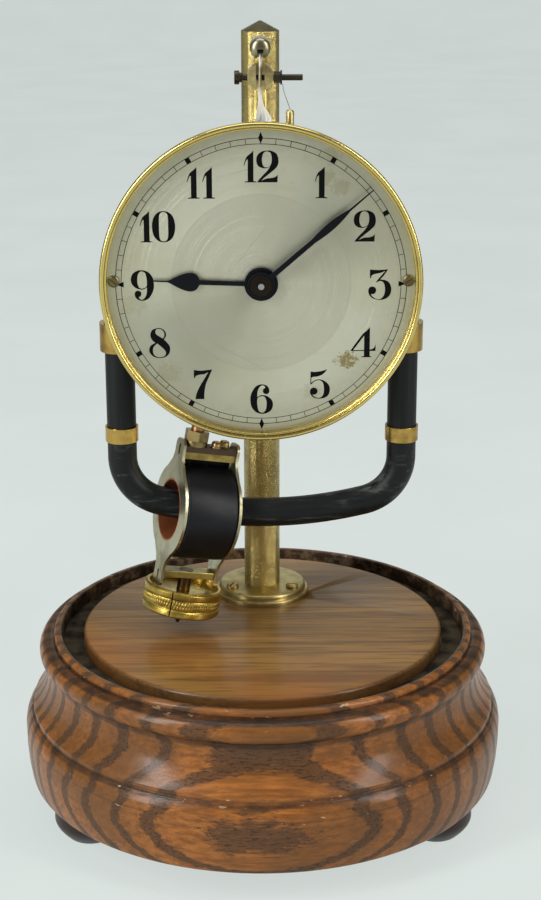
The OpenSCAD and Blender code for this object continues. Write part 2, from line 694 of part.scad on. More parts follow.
module movement_posts() color("goldenrod")
    for (s = [-1, 1]) {
        along_y(post_r, back_y1, bar_y0, s * post_x, collar_z);
        along_y(1.6 - fit, bar_y0, bar_y1 + 1, s * post_x, collar_z);
        along_y(1.6 - fit, back_y0, back_y1, s * post_x, collar_z);
    }

// A plate's outline in the plane of the dial, with a window for the ratchet wheel
module plate_outline()
    difference() {
        hull() for (x = [-1, 1], z = [plate_z0 - dial_z, plate_z1 - dial_z])
            translate([x * (plate_half_w - plate_corner), z - sign(z) * plate_corner])
                circle(r = plate_corner, $fn = 32);
        translate([worm_x - ratchet_r - 0.6, ratchet_z - dial_z - 0.5])
            square([2 * ratchet_r + 1.2, ratchet_t + 1]);
    }

module plate_holes(front)
    for (s = pillar_xs) {
        for (z = plate_pillar_zs) translate([s * plate_pillar_x, z - dial_z]) circle(r = 1, $fn = 32);
        if (!front) translate([s * post_x, collar_z - dial_z]) circle(r = 1.6, $fn = 32);
    }

module back_plate() color("darkgoldenrod")
    difference() {
        union() {
            translate([0, back_y1, dial_z]) rotate([90, 0, 0]) difference() {
                linear_extrude(plate_t) plate_outline();
                translate([0, 0, -past]) linear_extrude(plate_t + 2 * past) plate_holes(false);
            }
            translate([tongue_x, back_y0, plate_z1 - past])
                cube([tongue_w, plate_t, tongue_top - plate_z1 + past]);
        }
        along_y(arbor_r + fit, back_y0 - past, back_y1 - 0.5, 0, dial_z);
        along_y(fork_arbor_r + fit, back_y0 - past, back_y1 + past, 0, fork_z);
    }

module front_plate() color("darkgoldenrod")
    difference() {
        translate([0, front_y1, dial_z]) rotate([90, 0, 0]) difference() {
            linear_extrude(plate_t) plate_outline();
            translate([0, 0, -past]) linear_extrude(plate_t + 2 * past) plate_holes(true);
        }
        along_y(arbor_r + fit, front_y0 - past, front_y1 + past, 0, dial_z);
        along_y(fork_arbor_r + fit, front_y0 + 0.5, front_y1 + past, 0, fork_z);
        along_y(minute_post_r, front_y0 - past, front_y1 + past, minute_wheel_x, minute_wheel_z);
    }

module plate_pillars() color("goldenrod")
    for (s = pillar_xs, z = plate_pillar_zs) {
        along_y(plate_pillar_r, front_y1, back_y0, s * plate_pillar_x, z);
        along_y(1 - 0.02, front_y0, front_y1, s * plate_pillar_x, z);
        along_y(1 - 0.02, back_y0, back_y1, s * plate_pillar_x, z);
    }

// Screws that hold the plates on their pillars, and the post on which the minute wheel turns
minute_post_r = 0.9;
minute_wheel_x = motion_centre * cos(minute_wheel_dir);
minute_wheel_z = dial_z + motion_centre * sin(minute_wheel_dir);
module plate_screws() color("slategray") {
    for (s = pillar_xs, z = plate_pillar_zs) {
        along_y(2, front_y0 - 1.2, front_y0, s * plate_pillar_x, z, 32);
        along_y(2, back_y1, back_y1 + 1.2, s * plate_pillar_x, z, 32);
    }
    along_y(minute_post_r, dial_back + 0.5, front_y1, minute_wheel_x, minute_wheel_z, 32);
}

module worm_cocks() color("goldenrod")
    for (z = [cock_low_z, cock_high_z]) difference() {
        translate([worm_x - cock_w / 2, front_y1, z]) cube([cock_w, plate_gap, cock_h]);
        translate([worm_x, mid_y, z - (z == cock_low_z ? -0.8 : past)])
            cylinder(r = worm_arbor_r + fit, h = cock_h - 0.8 + past, $fn = 32);
    }

// Terminal on a tongue of the back plate, above the dial
tongue_x = 7;
tongue_w = 8;
tongue_drop = 16.5;
tongue_top = flex_z - tongue_drop;
post_place = [11.4, back_y0 - 2.2];
module terminal_block() color("black")
    difference() {
        translate([tongue_x, back_y0 - 5, tongue_top - 7]) cube([tongue_w, 5, 7]);
        translate([post_place[0], post_place[1], tongue_top - 5]) cylinder(r = 1.1, h = 6, $fn = 32);
    }

terminal_drop = 6.9;
terminal_top = flex_z - terminal_drop;
module terminal_post() color("goldenrod") {
    difference() {
        translate([post_place[0], post_place[1], tongue_top])
            cylinder(r = 1.6, h = terminal_top - tongue_top, $fn = 40);
        along_x(0.5, post_place[0] - 3, post_place[0] + 3, post_place[1], terminal_top - 3, 24);
    }
    translate([post_place[0], post_place[1], tongue_top - 5]) cylinder(r = 1.1, h = 5, $fn = 32);
    translate([post_place[0], post_place[1], terminal_top]) cylinder(r1 = 1.6, r2 = 1.1, h = 0.6, $fn = 40);
}

// Fine wire from the washer on the cross bolt down to the terminal
wire_r = 0.2;
wire_start = [clamp_nut_x + clamp_nut_l + washer_t + 0.25, bolt_y, bolt_z - washer_r + 0.2];
wire_end = [post_place[0], post_place[1], terminal_top + 0.85];
wire_route = [for (q = [[0, 0, 0], [0.15, 0.14, -1.3], [0.4, 0.35, -1.5], [0.75, 0.68, -0.9], [1, 1, 0]])
    [wire_start[0] + (wire_end[0] - wire_start[0]) * q[0], wire_start[1] + (wire_end[1] - wire_start[1]) * q[1],
     wire_start[2] + (wire_end[2] - wire_start[2]) * q[1] + q[2]]];
module link_wire() color("silver") {
    n = len(wire_route);
    rings = [for (i = [0:n - 1]) let (
        a = wire_route[max(0, i - 1)], b = wire_route[min(n - 1, i + 1)], d = (b - a) / norm(b - a),
        u = cross(d, [0, 1, 0]) / norm(cross(d, [0, 1, 0])), v = cross(d, u))
        [for (k = [0:7]) wire_route[i] + wire_r * (u * cos(45 * k) + v * sin(45 * k))]];
    pts = [for (r = rings) each r];
    m = 8 * (n - 1);
    sides = [for (i = [0:n - 2], k = [0:7]) let (a = 8 * i + k, b = 8 * i + (k + 1) % 8)
        each [[a, b, b + 8], [a, b + 8, a + 8]]];
    polyhedron(pts, concat([for (k = [1:6]) [0, k + 1, k]], sides, [for (k = [1:6]) [m, m + k, m + k + 1]]));
}

module dial_plate() color("gainsboro")
    difference() {
        facing(dial_back, dial_t) difference() {
            circle(r = dial_r - fit, $fn = 180);
            circle(r = hub_hole_r, $fn = 48);
        }
        for (s = [-1, 1]) along_y(1.2, dial_y - past, dial_back + past, s * arm_x, dial_z + 1);
    }

// Bezel: an outer roll, a groove and an inner lip, turned in one ring
module bezel() color("gold") {
    lip_r = bezel_r - bezel_w;
    translate([0, dial_back, dial_z]) rotate([90, 0, 0]) rotate_extrude($fn = 180) polygon(concat(
        [[dial_r, -1.6], [dial_r + 0.6, -1.6], [bezel_r, dial_t + bezel_rise - 3]],
        arc([bezel_r - 1.1, dial_t + bezel_rise - 1.1], 1.1, 0, 130, 9),
        [[lip_r + 1.25, dial_t + bezel_rise - 1.3]],
        arc([lip_r + 0.7, dial_t + bezel_rise - 1.4], 0.6, 60, 180, 6),
        [[lip_r, dial_t], [dial_r, dial_t]]));
}

module dial_screws() color("sienna")
    for (s = [-1, 1]) translate([s * arm_x, dial_y, dial_z + 1]) rotate([90, 0, 0]) rotate([0, 0, s * 35])
        slotted_screw(dial_screw_r, 1.1, 1.15, dial_t + 3, 0.5);

module dial_pillars() color("goldenrod")
    for (s = [-1, 1]) difference() {
        union() {
            along_y(dial_pillar_r, dial_back, swing_y - magnet_r - 0.2, s * arm_x, dial_z + 1);
            along_y(dial_spigot_r - 0.02, swing_y - magnet_r - 0.2, swing_y, s * arm_x, dial_z + 1);
        }
        along_y(1.2, dial_back - past, dial_back + 4, s * arm_x, dial_z + 1);
    }

// Leaf spring that stops the ratchet wheel from turning back, on a block under the dial
module detent_spring() color("lightsteelblue") {
    y = mid_y - ratchet_r - 0.65;
    translate([worm_x - 0.3, y, ratchet_z + 0.1]) cube([18.3, 0.25, ratchet_t - 0.2]);
    translate([worm_x + 14, y + 0.25, ratchet_z - 1]) cube([4, front_y0 - y - 0.25, ratchet_t + 2]);
}

// Hanger: chop that grips the silk, strip, and stirrup with the bore in which the rod turns
module hanger() color("goldenrod")
    hanging() {
        for (s = [0, 1]) mirror([0, s, 0]) translate([-chop_w / 2, silk_t / 2 + 0.15, -chop_top - chop_h])
            cube([chop_w, 1.2, chop_h]);
        translate([-hanger_w / 2, -hanger_t / 2, -stirrup_top])
            cube([hanger_w, hanger_t, stirrup_top - chop_top - chop_h + 1]);
        difference() {
            translate([-stirrup_w / 2, -stirrup_d / 2, -stirrup_top - stirrup_h])
                cube([stirrup_w, stirrup_d, stirrup_h]);
            translate([-stirrup_w / 2 + 1.4, -stirrup_d / 2 - past, -stirrup_top - stirrup_h + stirrup_wall])
                cube([stirrup_w - 2.8, stirrup_d + 2 * past, stirrup_h - 2 * stirrup_wall]);
            translate([0, 0, -stirrup_top - stirrup_h - past])
                cylinder(r = swivel_r + fit, h = stirrup_wall + 2 * past, $fn = 40);
        }
    }

module contact_pin() color("silver")
    hanging() {
        translate([0, -hanger_t / 2, -pin_drop]) rotate([90, 0, 0]) cylinder(r = 1.6, h = 0.4, $fn = 32);
        translate([0, -hanger_t / 2 - 0.4, -pin_drop]) rotate([90, 0, 0])
            cylinder(r = pin_r, h = swing_y - hanger_t / 2 - 0.4 - back_y1 - 0.3, $fn = 32);
    }

// Rod: a button turning in the stirrup, a slanting length, and a straight end through the coil's top bar
module pendulum_rod() color("rosybrown") {
    head_z = -stirrup_top - stirrup_h + stirrup_wall + fit;
    foot_z = -stirrup_top - stirrup_h - 0.4;
    back = rod_bend_z * sin(coil_pitch);
    up = rod_bend_z * cos(coil_pitch);
    bend = [socket_x * cos(hang_lean) + up * sin(hang_lean), back,
            -coil_drop - socket_x * sin(hang_lean) + up * cos(hang_lean)];
    span = [0, 0, foot_z] - bend;
    twisted() {
        translate([0, 0, head_z]) cylinder(r = 2, h = 1.4, $fn = 32);
        translate([0, 0, foot_z - 1.4]) cylinder(r = swivel_r, h = head_z - foot_z + 1.4, $fn = 40);
        translate(bend) rotate([0, acos(span[2] / norm(span)), atan2(span[1], span[0])]) {
            cylinder(r = rod_r, h = norm(span) - 2, $fn = 40);
            translate([0, 0, norm(span) - 3.6]) cylinder(r = rod_r + 1, h = 3, $fn = 40);
        }
    }
    at_coil() translate([socket_x, 0, 0]) {
        translate([0, 0, top_bar_z]) cylinder(r = rod_r, h = rod_bend_z - bush_h - top_bar_z, $fn = 40);
        translate([0, 0, rod_bend_z - bush_h]) cylinder(r = bush_r, h = bush_h + 1, $fn = 40);
    }
}

module rod_nut() color("goldenrod")
    at_coil() translate([socket_x, 0, term_z + term_t]) difference() {
        union() {
            cylinder(r = flange_nut_r, h = flange_nut_t, $fn = 60);
            translate([0, 0, flange_nut_t]) rotate([0, 0, 22]) cylinder(r = rod_nut_r, h = rod_nut_t, $fn = 6);
        }
        translate([0, 0, -past]) cylinder(r = rod_r + 0.02, h = flange_nut_t + rod_nut_t + 2 * past, $fn = 40);
    }

module coil_bar(z) translate([-coil_len / 2, -bar_d / 2, z]) cube([coil_len, bar_d, bar_h]);

module top_bar() color("goldenrod")
    at_coil() difference() {
        coil_bar(top_bar_z);
        translate([socket_x, 0, top_bar_z - past]) cylinder(r = rod_r, h = bar_h + 2 * past, $fn = 40);
    }

module terminal_plate() color("saddlebrown")
    at_coil() difference() {
        translate([-coil_len / 2 + 0.3, -bar_d / 2 - 0.8, term_z]) cube([coil_len - 0.6, bar_d + 1.6, term_t]);
        translate([socket_x, 0, term_z - past]) cylinder(r = rod_r, h = term_t + 2 * past, $fn = 40);
        for (p = terminal_places)
            translate([p[0], p[1], term_z - past]) cylinder(r = 0.9, h = term_t + 2 * past, $fn = 32);
    }

terminal_places = [[2.6, -1.7], [7.4, 1.6]];
module terminal_screws() color("darkgoldenrod")
    at_coil() for (p = terminal_places) translate([p[0], p[1], term_z]) {
        cylinder(r = 0.9 - fit, h = term_t + 0.6, $fn = 32);
        translate([0, 0, term_t]) cylinder(r = 2.5, h = 0.6, $fn = 32);
        translate([0, 0, term_t + 0.6]) rotate([0, 0, 25]) slotted_screw(2.1, 2.1, 0.8, 0.4, 0.5);
    }

// Cheek: a ring that runs out above and below into slotted straps
strap_ends = [strap_top, strap_foot];
strap_corner = 3;
shoulder_x = winding_r * 0.88;
shoulder_z = winding_r * 0.46;
module cheek_outline() {
    difference() {
        union() {
            circle(r = winding_r - 0.2, $fn = 120);
            for (s = [0, 1]) mirror([0, s]) {
                polygon([[-shoulder_x, shoulder_z], [-strap_w / 2 - 1.2, winding_r + 1.4],
                    [-strap_w / 2, winding_r + 4.4], [strap_w / 2, winding_r + 4.4],
                    [strap_w / 2 + 1.2, winding_r + 1.4], [shoulder_x, shoulder_z]]);
                hull() {
                    translate([-strap_w / 2, winding_r]) square([strap_w, 1]);
                    for (x = [-1, 1])
                        translate([x * (strap_w / 2 - strap_corner), strap_ends[s] - strap_corner])
                            circle(r = strap_corner, $fn = 40);
                }
            }
        }
        circle(r = cheek_bore_r, $fn = 120);
        for (s = [0, 1]) mirror([0, s]) translate([-0.9, strap_ends[s] - 6.6]) square([1.8, 4.4]);
    }
}

module coil_cheeks() color("silver")
    at_coil() for (s = [-1, 1]) translate([s * (coil_len / 2 + cheek_t / 2) - cheek_t / 2, 0, 0])
        rotate([90, 0, 90]) linear_extrude(cheek_t) cheek_outline();

module bore_liner() color("firebrick")
    at_coil() rotate([0, 90, 0]) difference() {
        cylinder(r = bore_r + liner_wall, h = coil_len + 2 * cheek_t, center = true);
        cylinder(r = bore_r, h = coil_len + 2 * cheek_t + 2 * past, center = true);
    }

module coil_winding() color("black")
    at_coil() rotate([0, 90, 0]) rotate_extrude($fn = 120) polygon(concat(
        [[bore_r + liner_wall, -coil_len / 2 + 0.3]],
        arc([winding_r - 1, -coil_len / 2 + 1.3], 1, -90, 0, 4),
        arc([winding_r - 1, coil_len / 2 - 1.3], 1, 0, 90, 4),
        [[bore_r + liner_wall, coil_len / 2 - 0.3]]));

module bottom_bar() color("goldenrod")
    at_coil() difference() {
        coil_bar(bottom_bar_z);
        translate([0, 0, bottom_bar_z - past]) cylinder(r = rating_rod_r, h = bar_h + 2 * past, $fn = 48);
    }

nut_bottom = nut_top - nut_t;
module rating_rod() color("sienna")
    at_coil() {
        translate([0, 0, nut_bottom - 0.6])
            cylinder(r = rating_rod_r, h = bottom_bar_z + bar_h - nut_bottom + 0.6, $fn = 48);
        translate([0, 0, nut_bottom - tip_l])
            cylinder(r1 = 0.6, r2 = rating_rod_r, h = tip_l - 0.6, $fn = 48);
    }

// Rating nut: two plain bands, a knurled waist and a saw slit that lets it grip the thread
module rating_nut() color("gold")
    at_coil() difference() {
        rotate_extrude($fn = 120) polygon([[rating_rod_r + fit, nut_bottom], [nut_r - 0.8, nut_bottom],
            [nut_r, nut_bottom + 0.7], [nut_r, nut_bottom + nut_t * 0.26],
            [nut_r - 0.5, nut_bottom + nut_t * 0.3], [nut_r - 0.3, nut_bottom + nut_t * 0.36],
            [nut_r - 0.3, nut_bottom + nut_t * 0.66],
            [nut_r - 0.5, nut_bottom + nut_t * 0.7], [nut_r, nut_bottom + nut_t * 0.74], [nut_r, nut_top - 0.7],
            [nut_r - 0.8, nut_top], [recess_r + 0.4, nut_top], [recess_r, nut_top - 0.4],
            [recess_r, nut_top - recess_depth], [rating_rod_r + fit, nut_top - recess_depth]]);
        rotate([0, 0, 235]) translate([rating_rod_r + 0.5, -nut_slit / 2, nut_bottom - past])
            cube([nut_r, nut_slit, nut_t + 2 * past]);
    }

// Fork: an arm whose slot takes the contact pin, and above its arbor the pin that carries the pawl
module fork_lever() color("lightsteelblue")
    translate([0, 0, fork_z]) rotate([0, fork_rest, 0]) {
        translate([0, fork_y0 + fork_t, 0]) rotate([90, 0, 0]) linear_extrude(fork_t) difference() {
            union() {
                hull() {
                    circle(r = 2.6, $fn = 32);
                    translate([0, pawl_reach]) circle(r = 1.3, $fn = 32);
                }
                translate([-1.1, -fork_in + 1]) square([2.2, fork_in - 1]);
                translate([-fork_slot - 1.3, -fork_out])
                    square([2 * fork_slot + 2.6, fork_out - fork_in + 1.4]);
            }
            translate([-fork_slot, -fork_out - past]) square([2 * fork_slot, fork_out - fork_in + past]);
        }
        along_y(fork_arbor_r, front_y0 + 0.6, fork_y0, 0, 0, 40);
        along_y(1.6, front_y1 + 1, back_y0 - 1, 0, 0, 40);
        along_y(pawl_pin_r, fork_y0 + fork_t, pawl_y0 + pawl_t + 0.1, 0, pawl_reach, 32);
    }

// Pawl: a thin finger on the fork's pin, its beak lifted just clear of the ratchet teeth
module pawl() color("silver") {
    z = fork_z + pawl_reach * cos(fork_rest);
    beak_y = mid_y + ratchet_r + 0.35;
    difference() {
        union() {
            along_y(1.1, pawl_y0, pawl_y0 + pawl_t, pawl_x, z, 32);
            translate([worm_x - 0.6, pawl_y0, z - 0.45]) cube([pawl_x - worm_x + 0.6, pawl_t, 0.9]);
            translate([worm_x - 0.6, beak_y, z - 0.4]) cube([0.6, pawl_y0 - beak_y + 0.1, 0.8]);
        }
        along_y(pawl_pin_r + fit, pawl_y0 - past, pawl_y0 + pawl_t + past, pawl_x, z, 32);
    }
}

// Worm: a round bar set off its axis and twisted, which gives a rounded single thread
module worm() color("silver")
    translate([worm_x, mid_y, dial_z - worm_len / 2]) rotate([0, 0, worm_phase])
        linear_extrude(worm_len, twist = -360 * worm_len / worm_pitch, slices = 96, $fn = 18)
            translate([worm_depth, 0]) polygon([for (k = [0:17]) worm_r * [cos(20 * k), sin(20 * k)]]);
// The thread's crest meets a gap between two teeth at the height of the wheel's axis
worm_phase = 180 - 360 * (worm_len / 2) / worm_pitch + 180;

module ratchet_arbor() color("silver") {
    translate([worm_x, mid_y, cock_low_z + 1])
        cylinder(r = worm_arbor_r, h = dial_z - worm_len / 2 - cock_low_z - 1, $fn = 40);
    translate([worm_x, mid_y, dial_z + worm_len / 2])
        cylinder(r = worm_arbor_r, h = cock_high_z + 2 - dial_z - worm_len / 2, $fn = 40);
    translate([worm_x, mid_y, ratchet_z]) linear_extrude(ratchet_t)
        polygon(ratchet_points(ratchet_teeth, ratchet_r, ratchet_depth));
}

module worm_wheel() color("goldenrod")
    facing(mid_y + worm_wheel_t / 2, worm_wheel_t) difference() {
        rotate([0, 0, 180 / worm_wheel_teeth]) polygon(worm_wheel_points(worm_wheel_teeth, worm_module));
        circle(r = arbor_r + fit, $fn = 48);
        for (a = [45:90:315]) rotate([0, 0, a]) translate([worm_wheel_r * 0.55, 0]) circle(r = 4.4, $fn = 48);
    }

// Centre arbor with its cannon: the pinion that drives the minute wheel, and the seat of the minute hand
pinion_y1 = front_y0 - layer_gap;
pinion_y0 = pinion_y1 - wheel_t - 0.2;
hour_wheel_y1 = pinion_y0 - layer_gap + 0.1;
hour_wheel_y0 = hour_wheel_y1 - wheel_t;
module centre_arbor() color("silver") {
    along_y(arbor_r, pinion_y1, back_y1 - 0.6, 0, dial_z);
    facing(pinion_y1, pinion_y1 - pinion_y0) polygon(gear_points(cannon_teeth, cannon_module));
    along_y(cannon_r, minute_y + hand_t, pinion_y0, 0, dial_z);
    along_y(arbor_r + 0.2, minute_y - arbor_nose, minute_y + hand_t + 1, 0, dial_z, 40);
    for (y = [mid_y - worm_wheel_t / 2 - 0.55, mid_y + worm_wheel_t / 2 + 0.05])
        along_y(2.2, y, y + 0.5, 0, dial_z, 40);
}

module minute_wheel() color("goldenrod")
    translate([minute_wheel_x, 0, 0]) {
        facing(pinion_y1, wheel_t, minute_wheel_z) difference() {
            rotate([0, 0, minute_wheel_dir + 180 + 180 / minute_wheel_teeth])
                polygon(gear_points(minute_wheel_teeth, cannon_module));
            circle(r = minute_post_r + fit, $fn = 40);
        }
        facing(pinion_y1 - wheel_t, pinion_y1 - wheel_t - hour_wheel_y0, minute_wheel_z) difference() {
            rotate([0, 0, minute_wheel_dir + 180 + 180 / minute_pinion_teeth])
                polygon(gear_points(minute_pinion_teeth, pinion_module));
            circle(r = minute_post_r + fit, $fn = 40);
        }
    }

// Outline of a hand along +X from rows of distance and half width
function hand_points(rows) =
    concat([for (q = rows) [q[0], q[1]]], [for (k = [len(rows) - 1:-1:0]) [rows[k][0], -rows[k][1]]]);

// Half width of a pear-shaped blade at share t of its length, widest near its root
function pear(t, w) = w * pow(sin(180 * pow(t, 0.62)), 0.8) * (1 - 0.25 * t);

module minute_hand() color("black") {
    root = minute_len * 0.47;
    end = minute_len * 0.79;
    difference() {
        union() {
            facing(minute_y + hand_t, hand_t) rotate([0, 0, 90 - minute_angle]) {
                circle(r = minute_boss_r, $fn = 72);
                polygon(hand_points(concat([[0, 1.05], [root, 0.95]],
                    [for (i = [1:7]) let (t = i / 8)
                        [root + (end - root) * t, 0.95 + 0.85 * sin(180 * t) - 0.5 * t]],
                    [[end, 0.4], [minute_len, 0.2]])));
            }
            along_y(washer_hub_r, minute_y - 0.5, minute_y + 0.1, 0, dial_z, 60);
        }
        along_y(arbor_r + 0.2, minute_y - past, minute_y + hand_t + past, 0, dial_z, 40);
    }
}

module hour_hand() color("black") {
    root = hour_len * 0.565;
    end = hour_len * 0.86;
    pipe_front = hour_y - 0.4;
    facing(hour_y + hand_t, hand_t) rotate([0, 0, 90 - hour_angle]) difference() {
        union() {
            circle(r = hour_boss_r, $fn = 72);
            polygon(hand_points(concat([[0, 0.9], [root, 0.9]],
                [for (i = [1:11]) let (t = i / 12)
                    [root + (end - root) * t, max(0.9 * (1 - t) + 0.3, pear(t, 4))]],
                [[end, 0.3], [hour_len, 0.25]])));
        }
        circle(r = cannon_r + fit, $fn = 48);
    }
    facing(hour_wheel_y1, hour_wheel_y1 - hour_wheel_y0) difference() {
        rotate([0, 0, minute_wheel_dir]) polygon(gear_points(hour_wheel_teeth, pinion_module));
        circle(r = cannon_r + fit, $fn = 48);
    }
    difference() {
        along_y(pipe_r, pipe_front, hour_wheel_y1, 0, dial_z);
        along_y(cannon_r + fit, pipe_front - past, hour_wheel_y1 + past, 0, dial_z);
    }
}

base_moulding();
base_disc();
groove_felt();
bun_feet();
base_screws();
bottom_cover();
battery_cell();
battery_clips();
pillar_foot();
pillar_foot_screws();
pillar_tube();
pillar_cap();
upper_stud();
split_stud();
clamp_bolt();
clamp_nut();
silk_ribbon();
bracket_block();
cross_bar();
bracket_screws();
upper_collars();
magnet_arms();
magnet_bar();
lower_collars();
movement_posts();
back_plate();
front_plate();
plate_pillars();
plate_screws();
worm_cocks();
terminal_block();
terminal_post();
link_wire();
dial_plate();
bezel();
dial_screws();
dial_pillars();
detent_spring();
hanger();
contact_pin();
pendulum_rod();
rod_nut();
top_bar();
terminal_plate();
terminal_screws();
coil_cheeks();
bore_liner();
coil_winding();
bottom_bar();
rating_rod();
rating_nut();
fork_lever();
pawl();
worm();
ratchet_arbor();
worm_wheel();
centre_arbor();
minute_hand();
hour_hand();
minute_wheel();
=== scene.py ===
"""Looks of the electric pendulum clock: camera, light, finishes and the fine pieces over the CAD frame."""
import json
from math import cos, pi, radians, sin
import bmesh
import bpy
import numpy as np
from mathutils import Matrix, Vector


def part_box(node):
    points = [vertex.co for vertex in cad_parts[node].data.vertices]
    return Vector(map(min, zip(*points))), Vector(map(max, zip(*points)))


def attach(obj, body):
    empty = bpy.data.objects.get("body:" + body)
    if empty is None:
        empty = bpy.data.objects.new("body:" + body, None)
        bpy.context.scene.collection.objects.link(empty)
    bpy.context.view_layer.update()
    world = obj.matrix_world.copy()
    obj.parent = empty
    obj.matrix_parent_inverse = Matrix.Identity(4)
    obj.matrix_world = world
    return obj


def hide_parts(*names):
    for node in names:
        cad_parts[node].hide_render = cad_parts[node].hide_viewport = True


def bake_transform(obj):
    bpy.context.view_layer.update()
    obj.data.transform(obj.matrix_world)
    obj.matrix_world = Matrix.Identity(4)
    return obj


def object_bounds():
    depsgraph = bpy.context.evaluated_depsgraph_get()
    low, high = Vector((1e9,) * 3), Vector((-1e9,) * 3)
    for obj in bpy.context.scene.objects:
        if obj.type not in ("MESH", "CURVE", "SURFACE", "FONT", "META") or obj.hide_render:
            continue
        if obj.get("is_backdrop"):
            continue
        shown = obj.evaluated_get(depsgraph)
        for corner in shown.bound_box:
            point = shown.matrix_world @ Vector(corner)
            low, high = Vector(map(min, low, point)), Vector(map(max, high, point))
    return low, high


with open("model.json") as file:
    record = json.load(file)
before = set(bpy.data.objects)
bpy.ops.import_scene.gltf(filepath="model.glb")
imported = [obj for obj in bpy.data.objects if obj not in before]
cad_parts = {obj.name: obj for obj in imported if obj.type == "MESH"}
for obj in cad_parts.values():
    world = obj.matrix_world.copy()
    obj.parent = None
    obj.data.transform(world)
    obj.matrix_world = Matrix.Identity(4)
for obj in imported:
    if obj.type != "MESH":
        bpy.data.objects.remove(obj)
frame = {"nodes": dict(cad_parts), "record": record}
cad_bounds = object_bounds()

MM = 0.001
METRE = 1000
body_of = {n: body for body, nodes in frame["record"]["behaviour"]["bodies"].items() for n in nodes}
slot_of = {row["node"]: row["material_slot"] for row in frame["record"]["subparts"]}

# Places and turns shared with the construction, in millimetres and radians
rim_r = 85.6
rim_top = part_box("base_moulding")[1][2] / MM
disc_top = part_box("base_disc")[1][2] / MM
coil_height = 49.7
coil_drop = 175.8
swing_y = -4
flex = np.array([0, swing_y, disc_top + coil_height + coil_drop])
dial_y = -24
dial_drop = 72
dial_centre = np.array([0, dial_y, flex[2] - dial_drop])
stud_front = swing_y - 4
upper_stud_rise = 16.4
rest_swing = radians(8.9)
rest_twist = radians(20)
hang_lean = radians(3.6)
coil_pitch = radians(5)
hanging = Matrix.Translation((0, swing_y, float(flex[2]))) @ Matrix.Rotation(rest_swing, 4, "Y")
twisted = hanging @ Matrix.Rotation(rest_twist, 4, "Z")
at_coil = (twisted @ Matrix.Translation((0, 0, -coil_drop)) @ Matrix.Rotation(hang_lean, 4, "Y")
           @ Matrix.Rotation(-coil_pitch, 4, "X"))


# Camera: the photograph's viewpoint, given as a place and three turns
def place_camera():
    """A camera 0.73 m in front of the clock that looks down on it."""
    place = Vector((-0.61, -726.64, 389.04)) * MM
    yaw, pitch, roll = radians(0.334), radians(17.861), radians(-0.139)
    focal_px = 1835.56
    frame_height_px = 900
    sensor_mm = 36
    ahead = Vector((sin(yaw) * cos(pitch), cos(yaw) * cos(pitch), -sin(pitch)))
    level = Vector((cos(yaw), -sin(yaw), 0))
    above = level.cross(ahead)
    right = level * cos(roll) + above * sin(roll)
    up = above * cos(roll) - level * sin(roll)
    data = bpy.data.cameras.new("photo_camera")
    data.sensor_width = sensor_mm
    data.lens = focal_px / frame_height_px * sensor_mm
    data.clip_start = 0.01
    camera = bpy.data.objects.new("photo_camera", data)
    bpy.context.scene.collection.objects.link(camera)
    camera.matrix_world = Matrix((
        (right.x, up.x, -ahead.x, place.x),
        (right.y, up.y, -ahead.y, place.y),
        (right.z, up.z, -ahead.z, place.z),
        (0, 0, 0, 1)))
    bpy.context.scene.camera = camera


place_camera()


# Shader expressions
class Wire:
    """A socket of a node tree, with arithmetic that adds Math nodes."""

    def __init__(self, nodes, socket):
        self.nodes = nodes
        self.socket = socket

    def calc(self, operation, *values):
        return self.nodes.node("ShaderNodeMath", {"operation": operation}, values)

    def __add__(self, other):
        return self.calc("ADD", self, other)

    def __sub__(self, other):
        return self.calc("SUBTRACT", self, other)

    def __rsub__(self, other):
        return self.calc("SUBTRACT", other, self)

    def __mul__(self, other):
        return self.calc("MULTIPLY", self, other)

    def __truediv__(self, other):
        return self.calc("DIVIDE", self, other)

    __radd__ = __add__
    __rmul__ = __mul__

    def size(self):
        return self.calc("ABSOLUTE", self)

    def root(self):
        return self.calc("SQRT", self)

    def least(self, other):
        return self.calc("MINIMUM", self, other)

    def most(self, other):
        return self.calc("MAXIMUM", self, other)

    def between(self, low, high):
        """0 below low, 1 above high and a smooth rise between them."""
        return self.nodes.node("ShaderNodeMapRange", {"interpolation_type": "SMOOTHSTEP"},
                               {"Value": self, "From Min": low, "From Max": high})

    def line(self, place, half):
        """1 at a place and 0 further from it than half."""
        return 1 - (self - place).size().between(half * 0.3, half)


def paint(red, green, blue):
    """A colour as it is seen on a screen, 0 to 255, as linear light."""
    shares = (red / 255, green / 255, blue / 255)
    return tuple(((c + 0.055) / 1.055) ** 2.4 if c > 0.04045 else c / 12.92 for c in shares) + (1,)


class Nodes:
    """A node tree, with one way to add a node and one to feed a socket."""

    def __init__(self, tree):
        self.tree = tree

    def node(self, kind, settings=None, inputs=(), out=0):
        """Adds a node: its settings first, then values or links for its sockets."""
        made = self.tree.nodes.new(kind)
        for key, value in (settings or {}).items():
            if key == "stops":
                ramp = made.color_ramp
                ramp.interpolation = "EASE"
                while len(ramp.elements) < len(value):
                    ramp.elements.new(0.5)
                for element, (spot, colour) in zip(ramp.elements, value):
                    element.position = spot
                    element.color = colour
            else:
                setattr(made, key, value)
        for key, value in inputs.items() if isinstance(inputs, dict) else enumerate(inputs):
            self.feed(made.inputs[key], value)
        return made if out is None else Wire(self, made.outputs[out])

    def feed(self, socket, value):
        """Gives a socket its link or its value."""
        if isinstance(value, Wire):
            self.tree.links.new(value.socket, socket)
        else:
            socket.default_value = value


